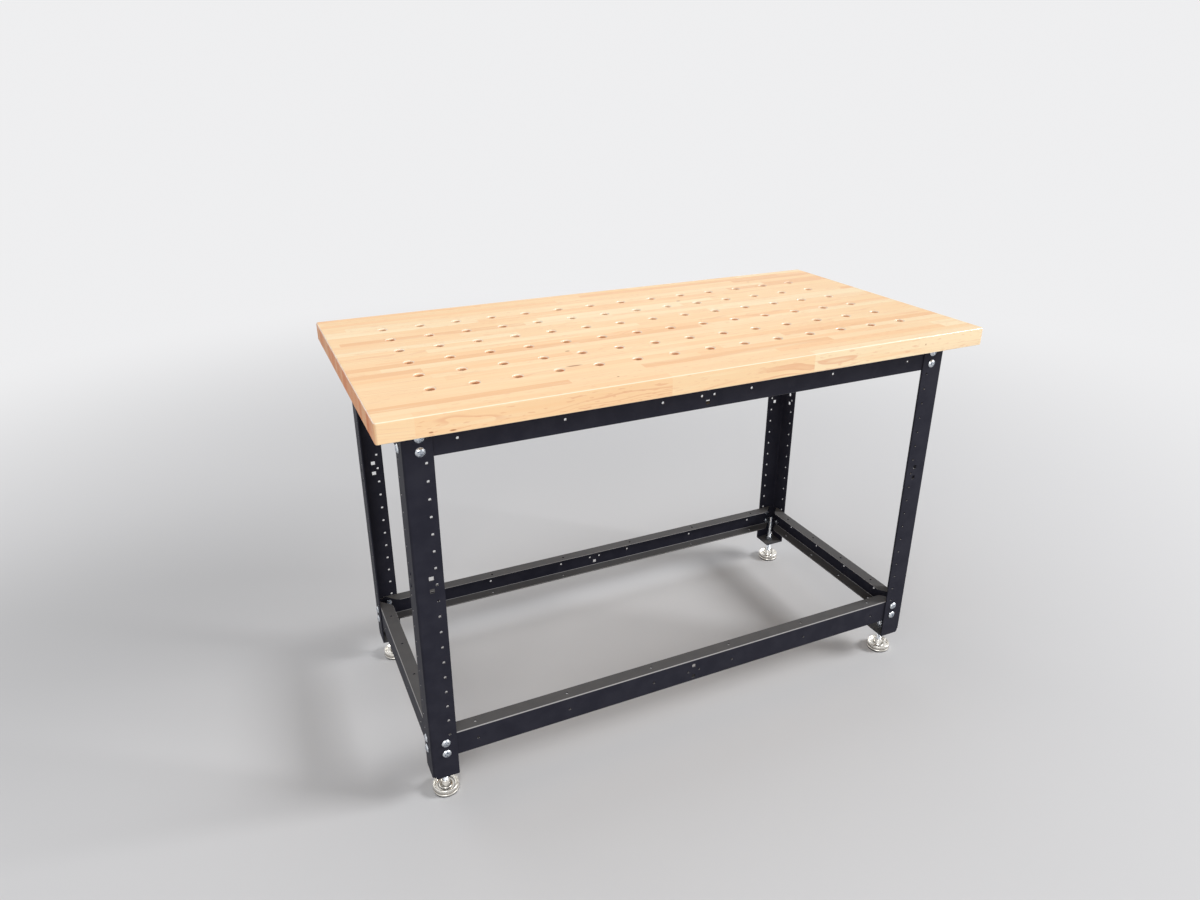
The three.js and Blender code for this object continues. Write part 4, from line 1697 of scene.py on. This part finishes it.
@dataclass
class LevellingFeet:
    """The four feet: a turned pad on rubber, a threaded stem and a nut on the leg's plate."""

    pad_finish: Finish
    stem_finish: Finish
    rubber_finish: Finish
    rubber_height: float = 3.6 * MM
    rubber_radius: float = 30.8 * MM
    rubber_ease: float = 1 * MM
    rubber_chamfer: float = 0.3 * MM
    pad_profile: tuple[Flat, ...] = (
        (0.0, 3.3), (30.8, 3.3), (31.6, 3.7), (32.0, 4.5), (31.9, 5.7), (31.3, 6.9), (30.4, 7.7),
        (30.0, 8.6), (30.1, 9.6), (30.7, 10.8), (31.5, 12.6), (32.0, 15.2), (31.9, 17.2), (31.3, 18.8),
        (30.4, 19.7), (29.2, 20.0), (28.0, 19.7), (27.0, 18.8), (25.6, 16.2), (24.4, 14.4), (22.8, 13.4),
        (20.5, 13.0), (17.2, 13.0), (15.6, 13.4), (14.6, 14.4), (13.4, 17.0), (9.6, 26.6), (9.0, 28.0),
        (8.4, 28.8), (7.6, 29.0), (7.0, 28.8), (6.9, 28.4), (6.9, 9.2), (0.0, 9.0),
    )
    pad_segments: int = 72
    lead: float = 25.4 * MM / 13
    crest: float = 6.35 * MM
    root: float = 5.45 * MM
    thread_segments: int = 24
    nut_flats: float = 19 * MM
    nut_bore: float = 13 * MM

    def pad(self) -> Object:
        """Makes the pad about the Z axis."""
        return turned("pad_master", [(r * MM, z * MM) for r, z in self.pad_profile], self.pad_segments)

    def rubber(self) -> Object:
        """Makes the rubber disc about the Z axis.

        Returns:
            The disc.
        """
        rim, height, ease = self.rubber_radius, self.rubber_height, self.rubber_ease
        profile = [(0.0, 0.0), (rim - ease, 0.0), (rim - self.rubber_chamfer, self.rubber_chamfer)]
        profile += [(rim, ease), (rim, height), (0.0, height)]
        return turned("rubber_master", profile, self.pad_segments)

    def stem(self, foot: float, top: float) -> Object:
        """Makes the threaded stem about the Z axis.

        Args:
            foot: The height of its lower end.
            top: The height of its upper end.

        Returns:
            The stem.
        """
        piece = add_object("stem_master", bpy.data.meshes.new("stem_master"))
        turns = math.ceil((top - foot) / self.lead) + 1
        wind = {"Turns": turns, "Segments": self.thread_segments, "Lead": self.lead}
        heights = {"Root": self.root, "Crest": self.crest, "Foot": foot, "Top": top}
        CutThread().run(piece, self.stem_finish, {**wind, **heights})
        settle(piece)
        return piece

    def build(self) -> None:
        """Makes each piece once and sets it at every corner."""
        label = Corner.FRONT_LEFT.label
        stem_low, stem_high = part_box(f"foot_stem_{label}")
        nut_low, nut_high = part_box(f"foot_nut_{label}")
        stem = self.stem(stem_low.z, stem_high.z)
        nut = HexagonNut(self.nut_flats, nut_low.z, nut_high.z, self.nut_bore).build("nut_master")
        masters = (
            (self.pad(), "levelling_pad", "foot", self.pad_finish, "foot_pad"),
            (self.rubber(), "rubber_disc", "foot", self.rubber_finish, None),
            (stem, "threaded_stem", "stem", self.stem_finish, "foot_stem"),
            (nut, "levelling_nut", None, self.stem_finish, "foot_nut"),
        )
        for corner in Corner:
            low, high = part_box(f"foot_pad_{corner.label}")
            place = Matrix.Translation(((low.x + high.x) / 2, (low.y + high.y) / 2, 0))
            for master, name, body, finish, node in masters:
                piece = copied(f"{name}_{corner.label}", master, place)
                body_name = f"{body}_{corner.label}" if body else FRAME_BODY
                install(piece, body_name, finish, [f"{node}_{corner.label}"] if node else [])
        for master, *_ in masters:
            remove(master)


@dataclass(frozen=True)
class SoftBox:
    """A soft rectangular lamp: its place, the point that it faces, its width and height, and its watts."""

    name: str
    place: Point
    aim: Point
    size: Flat
    power: float

    def hang(self) -> None:
        """Hangs the lamp."""
        data = bpy.data.lights.new(self.name, "AREA")
        data.shape = "RECTANGLE"
        data.size, data.size_y = self.size
        data.energy = self.power
        made = add_object(self.name, data)
        made.location = self.place
        made.rotation_euler = (Vector(self.aim) - Vector(self.place)).to_track_quat("-Z", "Y").to_euler()


@dataclass
class Studio:
    """The floor, the lamps, the backdrop and the camera."""

    floor: Finish
    floor_half: float = 40.0
    floor_rise: float = 35 * MM
    ambient: float = 0.38
    backdrop: Colour = BACKDROP
    lamps: tuple[SoftBox, ...] = (
        SoftBox("overhead", (-0.7, 0.3, 3.2), (-0.3, 0.0, 1.0), (3.0, 2.2), 22.0),
        SoftBox("front_right", (7.2, -3.5, 4.6), (0.0, 0.0, 0.8), (3.2, 2.2), 640.0),
        SoftBox("front_left", (-2.4, -3.6, 2.4), (0.0, 0.0, 0.8), (2.0, 1.5), 62.0),
        SoftBox("back_left", (-2.5, 3.2, 2.4), (0.0, 0.0, 0.8), (2.0, 1.5), 12.0),
        SoftBox("back_right", (2.5, 4.2, 1.6), (0.0, 0.0, 1.0), (2.6, 0.6), 8.0),
    )
    camera_place: Point = (-0.98701, -1.86341, 1.60335)
    heading: float = 24.197
    dip: float = 22.828
    roll: float = -0.180
    lens: float = 25.4846
    sensor: float = 36.0
    shift: Flat = (0.0068, -0.0162)

    def build_floor(self) -> None:
        """Lays the floor, and keeps it under the lowest foot however the feet are screwed."""
        half = self.floor_half
        mesh = bpy.data.meshes.new("studio_floor")
        corners = [(-half, -half, 0), (half, -half, 0), (half, half, 0), (-half, half, 0)]
        mesh.from_pydata(corners, [], [(0, 1, 2, 3)])
        mesh.materials.append(self.floor.material)
        floor = add_object("studio_floor", mesh)
        floor.location.z = self.floor_rise
        for corner in Corner:
            stop = floor.constraints.new("FLOOR")
            stop.target = bpy.data.objects[f"levelling_pad_{corner.label}"]
            stop.floor_location = "FLOOR_NEGATIVE_Z"

    def build_backdrop(self) -> None:
        """Gives the world a soft light and a pale tone where it is seen."""
        world = bpy.data.worlds.new("studio")
        world.use_nodes = True
        world.node_tree.nodes.clear()
        graph = Graph(world.node_tree)
        strength = self.ambient + seen_directly(graph) * (1.0 - self.ambient)
        light = graph.node("ShaderNodeBackground", {"Color": self.backdrop, "Strength": strength})
        graph.node("ShaderNodeOutputWorld", {"Surface": light})
        bpy.context.scene.world = world

    def build_camera(self) -> None:
        """Sets the camera at the photograph's viewing angle."""
        data = bpy.data.cameras.new("photo_camera")
        data.sensor_width, data.lens = self.sensor, self.lens
        data.shift_x, data.shift_y = self.shift
        made = add_object("photo_camera", data)
        turn = Matrix.Rotation(-math.radians(self.heading), 4, "Z")
        tilt = Matrix.Rotation(QUARTER_TURN - math.radians(self.dip), 4, "X")
        twist = Matrix.Rotation(math.radians(self.roll), 4, "Z")
        made.matrix_world = Matrix.Translation(self.camera_place) @ turn @ tilt @ twist
        bpy.context.scene.camera = made

    def build(self) -> None:
        """Makes the whole studio."""
        bpy.context.scene.view_settings.view_transform = "Standard"
        self.build_floor()
        self.build_backdrop()
        for lamp in self.lamps:
            lamp.hang()
        self.build_camera()


def main() -> None:
    """Builds each sub-assembly in order, and the studio round them."""
    logging.basicConfig(level=logging.INFO, format="%(message)s")
    zinc, coat = BrightZinc(), PowderCoat()
    punch, setter = PunchedRow(), SetFasteners()
    rails = Rails(coat, punch)
    Worktop(OiledMaple()).build()
    Legs(coat, punch).build()
    rails.build()
    CarriageBolts(zinc, setter).build()
    TopScrews(zinc, setter, rails).build()
    LevellingFeet(PolishedNickel(), zinc, BlackRubber()).build()
    Studio(StudioFloor()).build()


if __name__ == "__main__":
    main()
